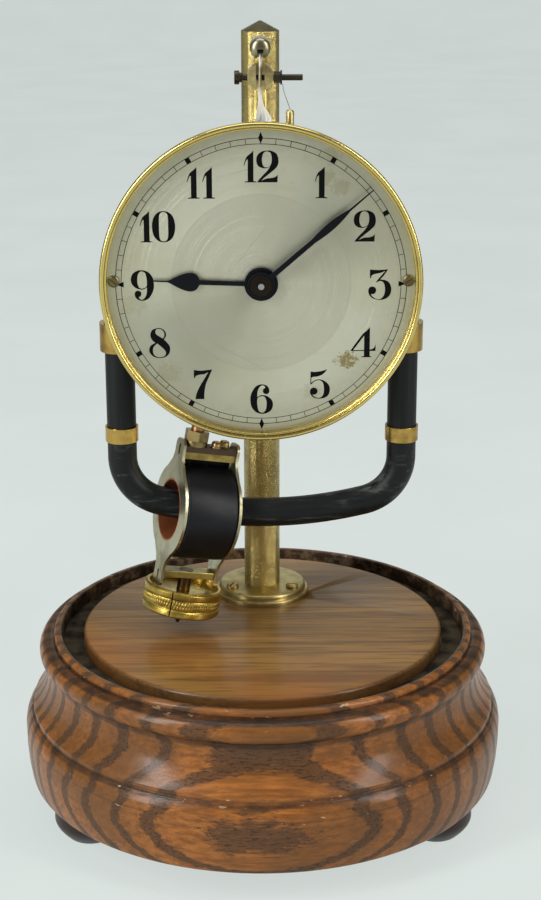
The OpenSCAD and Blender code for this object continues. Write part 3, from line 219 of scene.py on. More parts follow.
class Finish(Nodes):
    """One procedural material, built from nodes on Object coordinates in metres."""

    def __init__(self, name, **constants):
        self.material = bpy.data.materials.new(name)
        self.material.use_nodes = True
        super().__init__(self.material.node_tree)
        self.shader = self.tree.nodes["Principled BSDF"]
        self.at = self.node("ShaderNodeTexCoord", out="Object")
        split = self.node("ShaderNodeSeparateXYZ", inputs=[self.at], out=None)
        self.x, self.y, self.z = (Wire(self, split.outputs[k]) for k in "XYZ")
        self.set(**constants)

    def set(self, **sockets):
        """Values or links for the shader's own sockets."""
        for key, value in sockets.items():
            self.feed(self.shader.inputs[key.replace("_", " ")], value)

    def point(self, x, y, z):
        """A vector from three numbers or wires."""
        return self.node("ShaderNodeCombineXYZ", inputs=[x, y, z])

    def noise(self, scale, detail, roughness, at=None):
        return self.node("ShaderNodeTexNoise", inputs={
            "Vector": at or self.at, "Scale": scale, "Detail": detail, "Roughness": roughness})

    def mix(self, factor, first, second):
        """Blends two colours, through the colour sockets of a Mix node."""
        return self.node("ShaderNodeMix", {"data_type": "RGBA"}, {0: factor, 6: first, 7: second}, out=2)

    def bands(self, value, rows, low, high):
        """1 at each row's centre, falling to 0 at its half width on both sides: one ramp from low to high."""
        stops = []
        for centre, half in rows:
            for place, level in ((centre - half, 0), (centre, 1), (centre + half, 0)):
                stops.append(((place - low) / (high - low), (level, level, level, 1)))
        share = self.node("ShaderNodeMapRange", inputs={"Value": value, "From Min": low, "From Max": high})
        return self.node("ShaderNodeValToRGB", {"stops": stops}, [share])

    def bump(self, height, depth_mm, strength):
        """Sets the surface's fine relief, as a height from 0 to 1 that is depth_mm deep."""
        relief = self.node("ShaderNodeBump", inputs={
            "Strength": strength, "Distance": depth_mm * MM, "Height": height})
        self.set(Normal=relief)


# Dark growth layers in the base's front and back halves, as depth along Y and half width in millimetres
front_layers = [(-104, 8.8), (-91.8, 3.1), (-84, 2.6), (-74, 3.4), (-63.6, 3.6), (-52.4, 3.9), (-41, 3.6),
                (-31, 4), (-22, 3.6), (-12, 4)]
back_layers = [(-3, 3.6), (8, 4), (20, 3.6), (31, 4), (43, 3.6), (54, 4), (66, 3.6), (77, 3.2),
               (88, 3), (98, 3)]
# The height about which the layers bow in front, how strongly they bow, and where they straighten
bowl_up = 30.5
bowl_curve = 0.032
bowl_end = (38, 44)
# Hollows of the moulding darkened with painted shade, mottled like dirt, as drop under the rim, half width
# and share
shaded_hollows = [(3.2, 1.5, 1), (12.9, 2.4, 0.8), (34.6, 1.8, 0.8), (41.1, 0.6, 0.3)]
# Edges of the moulding that are chipped, as drop under the rim and half width
chipped_edges = [(40.2, 3), (1.4, 2.2), (34, 2)]


def dark_layers(wood, depth):
    """The growth layers as one mask, from two ramps because one holds only 32 stops."""
    low, high = front_layers[0][0] - 9, back_layers[-1][0] + 9
    middle = (front_layers[-1][0] + back_layers[0][0]) / 2
    behind = depth.between(middle - 0.01, middle)
    return (wood.bands(depth, front_layers, low, middle) * (1 - behind)
            + wood.bands(depth, back_layers, middle, high) * behind)


def moulding_wood():
    """Open-grained wood: dark layers stand across Y, pores run along X, painted shade lies in the hollows."""
    honey, umber, shade = paint(164, 101, 46), paint(108, 64, 29), paint(100, 65, 32)
    layer_brown, pore_black, pore_brown = paint(74, 52, 34), paint(36, 26, 19), paint(78, 48, 26)
    hollow_shade, soot = paint(38, 26, 19), paint(34, 25, 19)
    dust_brown, chip_pale = paint(98, 80, 58), paint(214, 190, 152)
    wood = Finish("base_wood", Coat_Weight=0.4, Coat_Roughness=0.2, Coat_IOR=1.4, Specular_IOR_Level=0.12)
    east, across, up = wood.x * METRE, wood.y * METRE, wood.z * METRE
    wander = wood.noise(11, 2, 0.5, at=wood.point(wood.x * 0.8, wood.y * 0.6, wood.z * 1.6)) - 0.5
    ripple = wood.noise(90, 3, 0.6, at=wood.point(wood.x * 0.5, wood.y * 0.5, wood.z)) - 0.5
    bowl = (up - bowl_up) * (up - bowl_up) * bowl_curve * (1 - up.between(*bowl_end))
    layer = dark_layers(wood, across + bowl + wander * 6 + ripple * 3.4)
    rough = wood.noise(640, 3, 0.75, at=wood.point(wood.x * 0.20, wood.y, wood.z * 0.8)) - 0.5
    band = (layer + rough * 1.5).between(0.34, 0.70)
    pores = wood.noise(1900, 2, 0.6, at=wood.point(wood.x * 0.16, wood.y, wood.z)).between(0.52, 0.64)
    fibre = wood.noise(520, 3, 0.65, at=wood.point(wood.x * 0.05, wood.y, wood.z))
    cloud = wood.noise(20, 3, 0.55)
    tone = wood.mix(fibre.between(0.30, 0.70) * 0.85, honey, umber)
    tone = wood.mix(cloud.between(0.36, 0.66) * 0.75, tone, shade)
    grain = band * (0.55 + pores * 0.45)
    tone = wood.mix(band * 0.78, tone, layer_brown)
    tone = wood.mix(band * pores * 0.7, tone, pore_black)
    tone = wood.mix(pores * (1 - band) * 0.22, tone, pore_brown)
    radius = (east * east + across * across).root()
    dust = wood.noise(160, 4, 0.7)
    inner = (1 - radius.between(rim_r + 0.2, rim_r + 2.2)) * up.between(rim_top - 8, rim_top - 7)
    # Painted shade in the hollows, mottled like dirt
    hollow = sum(up.line(rim_top - drop, half) * share for drop, half, share in shaded_hollows)
    hollow = (hollow * (dust * 1.3 - 0.05 + cloud * 0.3)).least(0.88)
    tone = wood.mix(hollow, tone, hollow_shade)
    tone = wood.mix(inner * 0.92, tone, wood.mix(dust.between(0.42, 0.66), soot, dust_brown))
    chips = wood.noise(620, 2, 0.6, at=wood.point(wood.x * 0.3, wood.y * 0.3, wood.z)).between(0.69, 0.73)
    edges = (sum(up.line(rim_top - drop, half) for drop, half in chipped_edges) + 0.12).least(1.0)
    tone = wood.mix(chips * edges * 0.55, tone, chip_pale)
    wood.set(Base_Color=tone, Roughness=0.34 + grain * 0.20 + cloud * 0.10)
    wood.bump(1 - grain * 0.6 - pores * 0.5 - chips * 0.4, 0.10, 0.7)
    return wood.material


def veneer_wood():
    """The loose disc: straight brown streaks along X, more orange in front, under a worn gloss."""
    tan, brown, orange = paint(142, 104, 54), paint(110, 80, 40), paint(146, 84, 28)
    streak_brown, fibre_brown, rim_brown = paint(80, 56, 30), paint(62, 44, 26), paint(62, 40, 26)
    wood = Finish("disc_wood", Coat_Weight=0.4, Coat_Roughness=0.2, Coat_IOR=1.4, Specular_IOR_Level=0.12)
    slow = wood.noise(34, 3, 0.6, at=wood.point(wood.x * 0.10, wood.y, wood.z))
    streak = wood.noise(150, 4, 0.65, at=wood.point(wood.x * 0.05, wood.y, wood.z))
    fibre = wood.noise(900, 2, 0.6, at=wood.point(wood.x * 0.04, wood.y, wood.z))
    cloud = wood.noise(12, 3, 0.5)
    tone = wood.mix(slow.between(0.34, 0.66), tan, brown)
    tone = wood.mix(streak.between(0.46, 0.66) * 0.7, tone, streak_brown)
    tone = wood.mix(fibre.between(0.50, 0.62) * 0.5, tone, fibre_brown)
    warm = (1 - (wood.y * METRE + wood.x * 420).between(-70, -10)) * cloud.between(0.3, 0.6)
    tone = wood.mix(warm * 0.65, tone, orange)
    radius = (wood.x * wood.x + wood.y * wood.y).root() * METRE
    tone = wood.mix(radius.between(74.6, 76.0) * 0.6, tone, rim_brown)
    wood.set(Base_Color=tone, Roughness=0.38 + cloud * 0.12)
    wood.bump(streak + fibre * 0.5, 0.02, 0.4)
    return wood.material


def cover_wood():
    """The hidden board under the base: quiet grain along X."""
    wood = Finish("cover_wood")
    streak = wood.noise(180, 4, 0.65, at=wood.point(wood.x * 0.06, wood.y, wood.z))
    tone = wood.mix(streak.between(0.4, 0.65), paint(172, 140, 98), paint(130, 98, 64))
    wood.set(Base_Color=tone, Roughness=0.55 + streak * 0.1)
    wood.bump(streak, 0.03, 0.4)
    return wood.material


def metal(name, colour, shade, roughness, grime, spots, brush=None, relief=0.006, fineness=2400):
    """Worn metal: a cloudy tarnish, fine marks from the tool, and small dark spots."""
    spot_brown = paint(54, 42, 26)
    made = Finish(name, Metallic=1.0)
    cloud = made.noise(38, 4, 0.6)
    fine = made.noise(210, 3, 0.6)
    tarnish = (cloud * 0.7 + fine * 0.3).between(0.42, 0.68)
    speck = made.noise(760, 2, 0.5).between(0.66, 0.74)
    marks = made.noise(fineness, 2, 0.5, at=brush(made) if brush else None)
    tone = made.mix(tarnish * grime, paint(*colour), paint(*shade))
    tone = made.mix(speck * spots, tone, spot_brown)
    made.set(Base_Color=tone, Roughness=roughness + tarnish * 0.14 + marks * 0.08 + speck * 0.2)
    if relief:
        made.bump(marks + cloud * 0.4, relief, 0.35)
    return made.material


# How far a mark is drawn out: its pattern runs at this share of its speed along the mark
drawn_out = 0.03


def round_z(made):
    """Marks that run round an upright bar."""
    return made.point(made.x * drawn_out, made.y * drawn_out, made.z)


def along_x(made):
    """Marks that run along a level bar."""
    return made.point(made.x * drawn_out, made.y, made.z)


def along_z(made):
    """Marks that run up an upright bar."""
    return made.point(made.x, made.y, made.z * drawn_out)


def scuffed(made):
    """Shorter scuffs along the level run of a bar."""
    return made.point(made.x * 0.10, made.y, made.z)


def turned_face(made):
    """Rings about the dial's middle."""
    north = made.z - float(dial_centre[2]) * MM
    return made.point((made.x * made.x + north * north).root(), made.y, 0.0)


def lacquer(name, colour, worn, roughness, wear, relief, shine, brush=None, start=0.53):
    """Black japan or paint with rubbed patches and dust in its grain."""
    made = Finish(name, Specular_IOR_Level=shine)
    cloud = made.noise(60, 4, 0.6, at=brush(made) if brush else None)
    fine = made.noise(520, 3, 0.65, at=brush(made) if brush else None)
    rub = (cloud * 0.56 + fine * 0.44).between(start, start + 0.16) * wear
    tone = made.mix(rub, paint(*colour), paint(*worn))
    made.set(Base_Color=tone, Roughness=roughness + fine * 0.18 + rub * 0.2)
    made.bump(fine + cloud, relief, 0.5)
    return made.material


def fibre_board(name, colour, shade, roughness, shine):
    """Pressed fibre, felt or cloth with a faint mottle."""
    made = Finish(name, Specular_IOR_Level=shine)
    fine = made.noise(1100, 3, 0.6)
    cloud = made.noise(120, 3, 0.5)
    tone = made.mix(cloud.between(0.3, 0.7) * 0.6, paint(*colour), paint(*shade))
    made.set(Base_Color=tone, Roughness=roughness + fine * 0.2)
    made.bump(fine, 0.02, 0.4)
    return made.material


# Stains on the dial, as millimetres across and up from its middle, reach and strength
dial_stains = [(33.6, -31, 5.2, 0.85), (25.5, 41.5, 4.5, 0.34), (31, 37.5, 5, 0.30), (-37, -36, 6.5, 0.20),
               (27, 50, 5, 0.22), (-50, -8, 7, 0.14), (20, -44, 5, 0.18)]
# Hair scratches on it, as turn in radians, half length and distance from the middle
dial_hairs = [(0.9, 20, 12), (-0.5, 16, -30), (0.25, 14, 44)]
# Turn of the painted highlight: pale sectors of painted highlight lie along it and dark sectors of painted
# shade across it; and the edge of the duller middle
highlight_turn = radians(38)
middle_r = 35


def silvered():
    """The dial's face: spun rings, painted sectors of highlight and of shade, a duller middle, warm stains,
    pits and scratches.
    """
    silver, warm_silver = paint(211, 209, 188), paint(196, 191, 163)
    sheen, shadow = paint(222, 219, 198), paint(150, 149, 132)
    dull, edge_grey, rim_grey = paint(184, 181, 163), paint(164, 160, 142), paint(166, 162, 136)
    pit_brown, track_brown = paint(140, 122, 84), paint(176, 164, 124)
    stain_brown, hair_grey = paint(142, 118, 56), paint(150, 146, 130)
    made = Finish("dial_silver", Metallic=0.9)
    east = made.x * METRE
    north = made.z * METRE - float(dial_centre[2])
    out = (east * east + north * north).root()
    ring = made.noise(4600, 3, 0.7, at=made.point(out * MM, 0.0, 0.0))
    slope = east * -sin(highlight_turn) + north * cos(highlight_turn)
    sector = slope * slope / (out * out + 0.5)
    cloud = made.noise(24, 4, 0.6)
    fine = made.noise(430, 4, 0.7)
    middle = 1 - out.between(middle_r - 0.6, middle_r + 0.3)
    tone = made.mix(cloud.between(0.35, 0.7) * 0.7, silver, warm_silver)
    # Painted highlight: pale sectors along the highlight's turn
    tone = made.mix(sector.between(0.45, 1.0) * out.line(16, 62) * 0.7, tone, sheen)
    # Painted shade: dark sectors across the highlight's turn
    tone = made.mix((1 - sector.between(0.0, 0.40)) * out.line(18, 58) * 0.45, tone, shadow)
    tone = made.mix(middle * 0.42, tone, dull)
    tone = made.mix(out.line(middle_r, 0.5) * 0.18, tone, edge_grey)
    tone = made.mix(out.between(40, 60) * 0.45, tone, rim_grey)
    tone = made.mix(fine.between(0.60, 0.74) * 0.16, tone, pit_brown)
    tone = made.mix(out.line(56, 9) * fine.between(0.40, 0.62) * 0.14, tone, track_brown)
    speckle = (made.noise(560, 4, 0.8) - 0.5) * 4.0
    for stain_x, stain_z, reach, strength in dial_stains:
        across = (east - stain_x) * (1 / reach)
        upward = (north - stain_z) * (1 / reach)
        near = across * across + upward * upward * 1.5 + speckle
        tone = made.mix((1 - near.between(0.2, 0.8)) * strength, tone, stain_brown)
    waver = (made.noise(30, 1, 0.5) - 0.5) * 3
    for turn, reach, place in dial_hairs:
        along = east * cos(turn) + north * sin(turn)
        aside = north * cos(turn) - east * sin(turn) + waver
        hair = aside.line(place, 0.16) * along.line(8, reach)
        tone = made.mix(hair * 0.4, tone, hair_grey)
    made.set(Base_Color=tone, Roughness=0.30 + middle * 0.06 + cloud * 0.06)
    made.bump(ring, 0.12, 1.0)
    return made.material


# Metals, as colour, tarnished colour, roughness, share of tarnish and share of spots
metals = {
    "iron_screw": ((150, 150, 148), (96, 88, 78), 0.34, 0.35, 0.15),
    "spring_brass": ((212, 184, 108), (150, 122, 66), 0.30, 0.35, 0.15),
    "pillar_brass": ((204, 182, 116), (126, 110, 66), 0.12, 0.6, 0.3),
    "cap_bronze": ((126, 118, 84), (70, 64, 44), 0.30, 0.8, 0.4),
    "stud_brass": ((226, 206, 146), (112, 92, 56), 0.24, 1.0, 0.6),
    "stud_steel": ((176, 168, 140), (98, 88, 64), 0.19, 0.9, 0.5),
    "collar_brass": ((196, 160, 86), (96, 70, 42), 0.17, 0.9, 0.4),
    "bezel_brass": ((218, 196, 120), (160, 138, 74), 0.15, 0.4, 0.0),
    "plate_brass": ((204, 178, 112), (142, 114, 64), 0.32, 0.35, 0.15),
    "wheel_brass": ((214, 188, 116), (160, 130, 70), 0.26, 0.35, 0.15),
    "nut_brass": ((214, 184, 90), (120, 94, 44), 0.20, 0.8, 0.4),
    "foot_brass": ((196, 176, 118), (116, 98, 60), 0.28, 0.8, 0.4),
    "bar_brass": ((184, 162, 92), (96, 78, 44), 0.28, 0.8, 0.4),
    "nut_bronze": ((158, 138, 92), (88, 70, 46), 0.30, 0.8, 0.4),
    "terminal_brass": ((206, 180, 120), (146, 108, 78), 0.26, 0.6, 0.3),
    "bronze_screw": ((124, 112, 78), (78, 66, 44), 0.32, 0.7, 0.4),
    "foot_screw": ((196, 170, 104), (120, 96, 56), 0.28, 0.6, 0.3),
    "hub_bronze": ((48, 40, 33), (36, 30, 25), 0.34, 0.8, 0.3),
    "dark_steel": ((78, 72, 62), (46, 38, 32), 0.32, 0.7, 0.3),
    "spring_steel": ((176, 178, 180), (120, 116, 108), 0.26, 0.35, 0.15),
    "tinned_wire": ((176, 170, 152), (130, 116, 92), 0.30, 0.35, 0.15),
    "contact_silver": ((226, 226, 222), (170, 164, 150), 0.18, 0.35, 0.15),
    "copper_rod": ((182, 134, 98), (106, 78, 58), 0.30, 0.6, 0.3),
    "dark_rod": ((104, 84, 58), (58, 44, 32), 0.34, 0.7, 0.4),
    "cheek_nickel": ((196, 190, 160), (128, 118, 84), 0.26, 0.8, 0.35),
}
# Lacquers, as colour, worn colour, roughness, share of wear, relief in millimetres and shine
lacquers = {
    "foot_wood": ((40, 25, 20), (74, 46, 34), 0.30, 0.5, 0.02, 0.4),
    "magnet_black": ((17, 19, 20), (104, 107, 102), 0.36, 0.55, 0.035, 0.24),
    "arm_black": ((18, 20, 21), (62, 66, 64), 0.36, 0.4, 0.03, 0.24),
    "winding_black": ((11, 12, 16), (34, 35, 40), 0.34, 0.35, 0.02, 0.26),
    "hand_black": ((5, 7, 13), (20, 24, 36), 0.34, 0.2, 0.004, 0.16),
    "ink": ((4, 4, 5), (20, 19, 18), 0.55, 0.2, 0.004, 0.1),
}
# Fibres, as colour, mottled colour, roughness and shine
fibres = {
    "felt": ((30, 27, 23), (92, 80, 62), 0.9, 0.1),
    "cell_jacket": ((60, 66, 70), (44, 48, 52), 0.5, 0.3),
    "silk": ((248, 247, 242), (232, 229, 218), 0.75, 0.2),
    "black_fibre": ((30, 28, 27), (20, 19, 19), 0.5, 0.3),
    "brown_fibre": ((84, 64, 44), (52, 40, 30), 0.5, 0.3),
    "red_fibre": ((158, 88, 50), (112, 60, 36), 0.5, 0.3),
}
# Finishes whose marks run one way, or whose relief or wear is not the usual
marks_of = {
    "pillar_brass": {"brush": round_z, "relief": 1.0, "fineness": 15000},
    "cap_bronze": {"brush": round_z},
    "stud_steel": {"relief": 0.01},
    "collar_brass": {"brush": round_z, "relief": 0.004},
    "bezel_brass": {"relief": 0},
    "wheel_brass": {"brush": turned_face},
    "bar_brass": {"brush": along_x},
    "copper_rod": {"brush": along_z},
    "dark_rod": {"brush": along_z},
    "magnet_black": {"brush": scuffed, "start": 0.49},
    "arm_black": {"brush": along_z},
    "winding_black": {"brush": along_x},
}
finishes = {"base_wood": moulding_wood(), "disc_wood": veneer_wood(), "cover_wood": cover_wood(),
            "dial_silver": silvered()}
for make, rows in ((metal, metals), (lacquer, lacquers), (fibre_board, fibres)):
    for name, row in rows.items():
        finishes[name] = make(name, *row, **marks_of.get(name, {}))
# Pieces whose finish differs from their slot's usual one
own_finish = {
    "pillar_cap": "cap_bronze", "pillar_foot": "foot_brass", "pillar_foot_screws": "foot_screw",
    "magnet_arms": "arm_black", "top_bar": "bar_brass", "bottom_bar": "bar_brass", "rod_nut": "nut_bronze",
    "terminal_screws": "terminal_brass", "rating_rod": "dark_rod",
}


# Meshes
def add_piece(name, points_mm, faces, body, finish, slot=None, stands_for=(), smooth_deg=35):
    """A mesh piece in the frame's place, from an array of points in millimetres and index rows."""
    mesh = bpy.data.meshes.new(name)
    mesh.from_pydata((np.asarray(points_mm, float) * MM).tolist(), [], [list(map(int, f)) for f in faces])
    piece = bpy.data.objects.new(name, mesh)
    return finish_piece(piece, body, finish, stands_for, smooth_deg)


def finish_piece(piece, body, finish, stands_for=(), smooth_deg=35):
    """Links a piece, gives it its finish and smooth shading, and lets it ride its body if it has one."""
    bpy.context.scene.collection.objects.link(piece)
    piece.data.materials.clear()
    piece.data.materials.append(finishes[finish])
    piece.data.polygons.foreach_set("use_smooth", np.ones(len(piece.data.polygons), bool))
    piece.data.set_sharp_from_angle(angle=radians(smooth_deg))
    if body:
        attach(piece, body)
    if stands_for:
        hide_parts(*stands_for)
    return piece


def grid_faces(rows, around, closed=True):
    """Quads of a grid whose columns may close into a ring."""
    i, j = np.meshgrid(np.arange(rows - 1), np.arange(around if closed else around - 1), indexing="ij")
    after = (j + 1) % around
    corners = [i * around + j, i * around + after, (i + 1) * around + after, (i + 1) * around + j]
    return np.stack(corners, -1).reshape(-1, 4)


def moved(points, matrix):
    """Points carried by a matrix."""
    turn = np.array(matrix.to_3x3())
    return np.asarray(points) @ turn.T + np.array(matrix.translation)


def tube(path, radius, around, flat=1.0):
    """A bar along a path: rings of points square to its direction, widened on one side by flat."""
    path = np.asarray(path, float)
    ahead = np.gradient(path, axis=0)
    ahead /= np.linalg.norm(ahead, axis=1, keepdims=True)
    side = np.cross(ahead, [0.13, 1, 0.21])
    side /= np.linalg.norm(side, axis=1, keepdims=True)
    up = np.cross(ahead, side)
    turn = np.linspace(0, 2 * pi, around, endpoint=False)[None, :, None]
    radius = np.broadcast_to(radius, len(path))[:, None, None]
    points = path[:, None] + radius * (np.cos(turn) * side[:, None] * flat + np.sin(turn) * up[:, None])
    faces = [list(f) for f in grid_faces(len(path), around)]
    last = (len(path) - 1) * around
    return points.reshape(-1, 3), faces + [list(range(around))[::-1], list(range(last, last + around))]


def smooth_path(knots, steps):
    """A Catmull-Rom curve through the knots."""
    knots = np.asarray(knots, float)
    ends = np.vstack([2 * knots[0] - knots[1], knots, 2 * knots[-1] - knots[-2]])
    t = np.linspace(0, 1, steps, endpoint=False)[:, None]
    spans = [0.5 * (2 * b + (c - a) * t + (2 * a - 5 * b + 4 * c - d) * t ** 2
                    + (3 * b - a - 3 * c + d) * t ** 3)
             for a, b, c, d in zip(ends, ends[1:], ends[2:], ends[3:])]
    return np.vstack(spans + [knots[-1:]])


def turned_ring(profile, around, relief=None, gap=0.0):
    """A closed profile of radius and height carried round Z, open over a gap; relief adds to its radius."""
    profile = np.asarray(profile, float)
    turn = np.linspace(gap / 2, 2 * pi - gap / 2, around + (gap > 0), endpoint=gap > 0)[:, None]
    radius = np.broadcast_to(profile[None, :, 0], (len(turn), len(profile)))
    if relief is not None:
        radius = radius + relief(turn, profile[None])
    points = np.stack([radius * np.cos(turn), radius * np.sin(turn),
                       np.broadcast_to(profile[None, :, 1], radius.shape)], -1)
    rows, count = radius.shape
    faces = grid_faces(rows, count).tolist()
    if gap:
        faces += [list(range(count))[::-1], [(rows - 1) * count + k for k in range(count)]]
    else:
        k = np.arange(count)
        after = (k + 1) % count
        last = (rows - 1) * count
        faces += np.stack([last + k, last + after, after, k], -1).tolist()
    return points.reshape(-1, 3), faces


def outward(piece):
    """Turns every face of a closed piece outwards."""
    shape = bmesh.new()
    shape.from_mesh(piece.data)
    bmesh.ops.recalc_face_normals(shape, faces=shape.faces)
    shape.to_mesh(piece.data)
    shape.free()


# Softened edges: their usual width and those that differ, in millimetres
usual_bevel = 0.12
bevels = {
    "base_moulding": 0.5, "base_disc": 0, "bun_feet": 0.3, "pillar_tube": 0, "pillar_cap": 0.2,
    "pillar_foot": 0.25, "cross_bar": 0.4, "bracket_block": 0.4, "upper_collars": 0.3, "lower_collars": 0.2,
    "magnet_bar": 0, "dial_plate": 0, "coil_cheeks": 0.15, "coil_winding": 0, "top_bar": 0.45,
    "bottom_bar": 0.45, "rod_nut": 0.3, "terminal_plate": 0.2, "hour_hand": 0.1, "minute_hand": 0.1,
    "front_plate": 0.15, "back_plate": 0.15, "worm": 0, "worm_wheel": 0.05, "minute_wheel": 0.05,
    "centre_arbor": 0.05, "ratchet_arbor": 0.04, "pawl": 0.05, "fork_lever": 0.1, "split_stud": 0.55,
    "clamp_bolt": 0.25,
}
# The fold that counts as an edge, how near points are merged, and the fold that counts as flat
fold_deg = 32
merge_mm = 0.002
flat_deg = 0.4


def dressed(node):
    """A merged copy of a CAD node with softened edges, which stands for the node."""
    mesh = frame["nodes"][node].data.copy()
    shape = bmesh.new()
    shape.from_mesh(mesh)
    bmesh.ops.remove_doubles(shape, verts=shape.verts, dist=merge_mm * MM)
    bmesh.ops.dissolve_limit(shape, angle_limit=radians(flat_deg), verts=shape.verts, edges=shape.edges)
    shape.to_mesh(mesh)
    shape.free()
    piece = bpy.data.objects.new(node + "_finished", mesh)
    finish_piece(piece, body_of[node], own_finish.get(node, slot_of[node]), [node], fold_deg)
    width = bevels.get(node, usual_bevel)
    if width:
        edge = piece.modifiers.new("soft_edges", "BEVEL")
        edge.width = width * MM
        edge.segments = 2
        edge.limit_method = "ANGLE"
        edge.angle_limit = radians(fold_deg)
        edge.harden_normals = True


drawn_here = {"silk_ribbon", "link_wire", "upper_stud", "bezel"}
for node in frame["nodes"]:
    if node not in drawn_here:
        dressed(node)


# Dial: numerals and minute track
# Outlines on a height of 200; an exclamation mark ends a smooth run at a corner
numeral_outlines = {
    "1": [
        "22,200! 22,8! 40,5! 40,0! -34,0! -34,5! -14,8! -14,145! -23,138 -36,105! -40,107! -28,146 "
        "-17,165 3,181",
    ],
    "2": [
        "0,200 31,196 59,177 70,139 64,105 43,80 10,53 -22,27 -39,9! -25,17 -1,25 27,28 50,34 65,48! "
        "63,0! -65,0! -53,17 -29,44 -1,73 18,100! 3,92 -18,88 -44,94 -63,110 -70,138 -63,170 -37,193",
        "-1,194 18,186 26,165 27,134 20,109 5,97 -15,95 -27,105 -33,127 -34,153 -27,179 -16,191",
    ],
    "3": [
        "-65,199! -8,196 51,200! 41,184 22,156 2,134! 36,129 62,110 74,74 67,35 41,9 1,0 -41,9 -66,31 "
        "-74,59 -67,80 -48,88 -29,80 -23,62 -31,44 -46,38 -57,39! -46,22 -24,8 1,5 22,22 32,49 33,80 "
        "26,108 12,122 -4,123 -22,113! -24,117! -11,136 14,166 33,190! 7,178 -22,172 -44,166 -53,158 "
        "-58,143! -64,143!",
    ],
    "4": [
        "43,200! 43,51! 62,56 74,68 82,86! 80,42! 43,42! 43,8! 53,5! 53,0! -10,0! -10,5! 6,8! 6,42! "
        "-82,42! -82,45! -27,123 1,160 22,178",
        "6,144! 6,48! -64,48!",
    ],
    "5": [
        "-61,184! -36,181 1,185 26,191 46,200! 34,181 12,161 -18,150 -43,147 -56,142! -57,108! "
        "-39,121 -14,130 19,125 52,101 65,69 58,29 34,7 -3,0 -37,6 -58,24 -65,48 -58,68 -40,75 -21,67 "
        "-15,50 -23,33 -38,27 -49,28! -39,16 -20,7 -1,6 17,19 25,42 26,74 20,106 3,122 -18,124 "
        "-39,114 -57,97! -63,97!",
    ],
    "6": [
        "3,200 29,194 46,177 51,155 45,140 30,133 14,140 8,153 13,169 25,177! 17,189 3,193 -15,179 "
        "-26,152 -29,113! -14,122 6,127 40,118 66,93 74,62 63,26 34,5 2,0 -36,11 -65,45 -74,93 "
        "-68,136 -45,178 -22,195",
        "2,120 21,113 31,88 32,57 27,28 13,10 -2,9 -19,20 -27,51 -29,86 -24,109",
    ],
    "7": [
        "-60,197! -19,192 26,196 60,200! 40,154 18,101 8,48 6,0! -52,0! -43,41 -20,90 9,139 34,182! "
        "7,169 -23,165 -45,157 -54,143! -60,143!",
    ],
    "8": [
        "-4,200 24,191 41,170 42,146 29,123! 46,106 63,83 68,59 60,28 34,6 -1,0 -38,8 -62,31 -68,56 "
        "-60,79 -42,94 -27,101! -45,117 -57,139 -57,164 -43,189",
        "-4,194 18,187 31,167 31,147 23,130! 4,141 -18,156 -26,173 -20,189",
        "-15,97! 10,76 34,51 40,31 30,13 8,6 -10,6 -33,17 -43,39 -42,66 -31,83",
    ],
    "0": [
        "0,200 35,191 63,158 74,100 63,42 35,9 0,0 -35,9 -63,42 -74,100 -63,158 -35,191",
        "0,194 20,185 28,158 29,100 28,42 20,14 0,6 -20,14 -28,42 -29,100 -28,158 -20,185",
    ],
}
# Nine is the six turned half round; a pair's two digits stand at these offsets
pair_places = {"10": (-71, 41), "11": (-46, 51), "12": (-68, 42)}
numeral_height = 12.2
numeral_ring = 46.4
numeral_drop = 0.65
track_drop = 0.3
ink_depth = 0.03


def outline_points(words, steps=5):
    """Points of one closed outline: Catmull-Rom between the plain points, straight into the corners."""
    marks = words.split()
    spots = np.array([[float(v) for v in m.rstrip("!").split(",")] for m in marks])
    sharp = [m.endswith("!") for m in marks]
    points = []
    for k in range(len(spots)):
        a, b, c, d = (spots[(k + s) % len(spots)] for s in (-1, 0, 1, 2))
        if sharp[k] and sharp[(k + 1) % len(spots)]:
            points.append(b)
            continue
        a = 2 * b - c if sharp[k] else a
        d = 2 * c - b if sharp[(k + 1) % len(spots)] else d
        for t in np.arange(steps) / steps:
            points.append(0.5 * (2 * b + (c - a) * t + (2 * a - 5 * b + 4 * c - d) * t * t
                                 + (3 * b - a - 3 * c + d) * t ** 3))
    return np.array(points)


def dial_numerals():
    """Every numeral's outlines, upright on the dial, in millimetres from its middle."""
    outlines = []
    for hour in range(1, 13):
        word = str(hour)
        middle = numeral_ring * np.array([sin(hour * pi / 6), cos(hour * pi / 6)]) - [0, numeral_drop]
        for place, digit in enumerate(word):
            shift = pair_places[word][place] if len(word) == 2 else 0
            for words in numeral_outlines["6" if digit == "9" else digit]:
                points = outline_points(words) - [0, 100]
                points = (-points if digit == "9" else points) + [shift, 0]
                outlines.append(middle + points * numeral_height / 200)
    return outlines


def inked(name, outlines):
    """Fills closed outlines on the dial's face and gives them the thickness of ink."""
    flat = bpy.data.curves.new(name, "CURVE")
    flat.dimensions = "2D"
    flat.fill_mode = "BOTH"
    flat.extrude = ink_depth / 2
    for outline in outlines:
        spline = flat.splines.new("POLY")
        spline.points.add(len(outline) - 1)
        spline.points.foreach_set("co", np.c_[outline, np.zeros(len(outline)), np.ones(len(outline))].ravel())
        spline.use_cyclic_u = True
    holder = bpy.data.objects.new(name + "_flat", flat)
    bpy.context.scene.collection.objects.link(holder)
    mesh = bpy.data.meshes.new_from_object(holder.evaluated_get(bpy.context.evaluated_depsgraph_get()))
    mesh.name = name
    bpy.data.objects.remove(holder)
    points = np.empty(len(mesh.vertices) * 3)
    mesh.vertices.foreach_get("co", points)
    across, up, out = points.reshape(-1, 3).T
    placed = np.stack([across, -out - ink_depth / 2, up], -1) + dial_centre
    mesh.vertices.foreach_set("co", (placed * MM).ravel())
    finish_piece(bpy.data.objects.new(name, mesh), "frame", "ink")


inked("dial_numerals", dial_numerals())


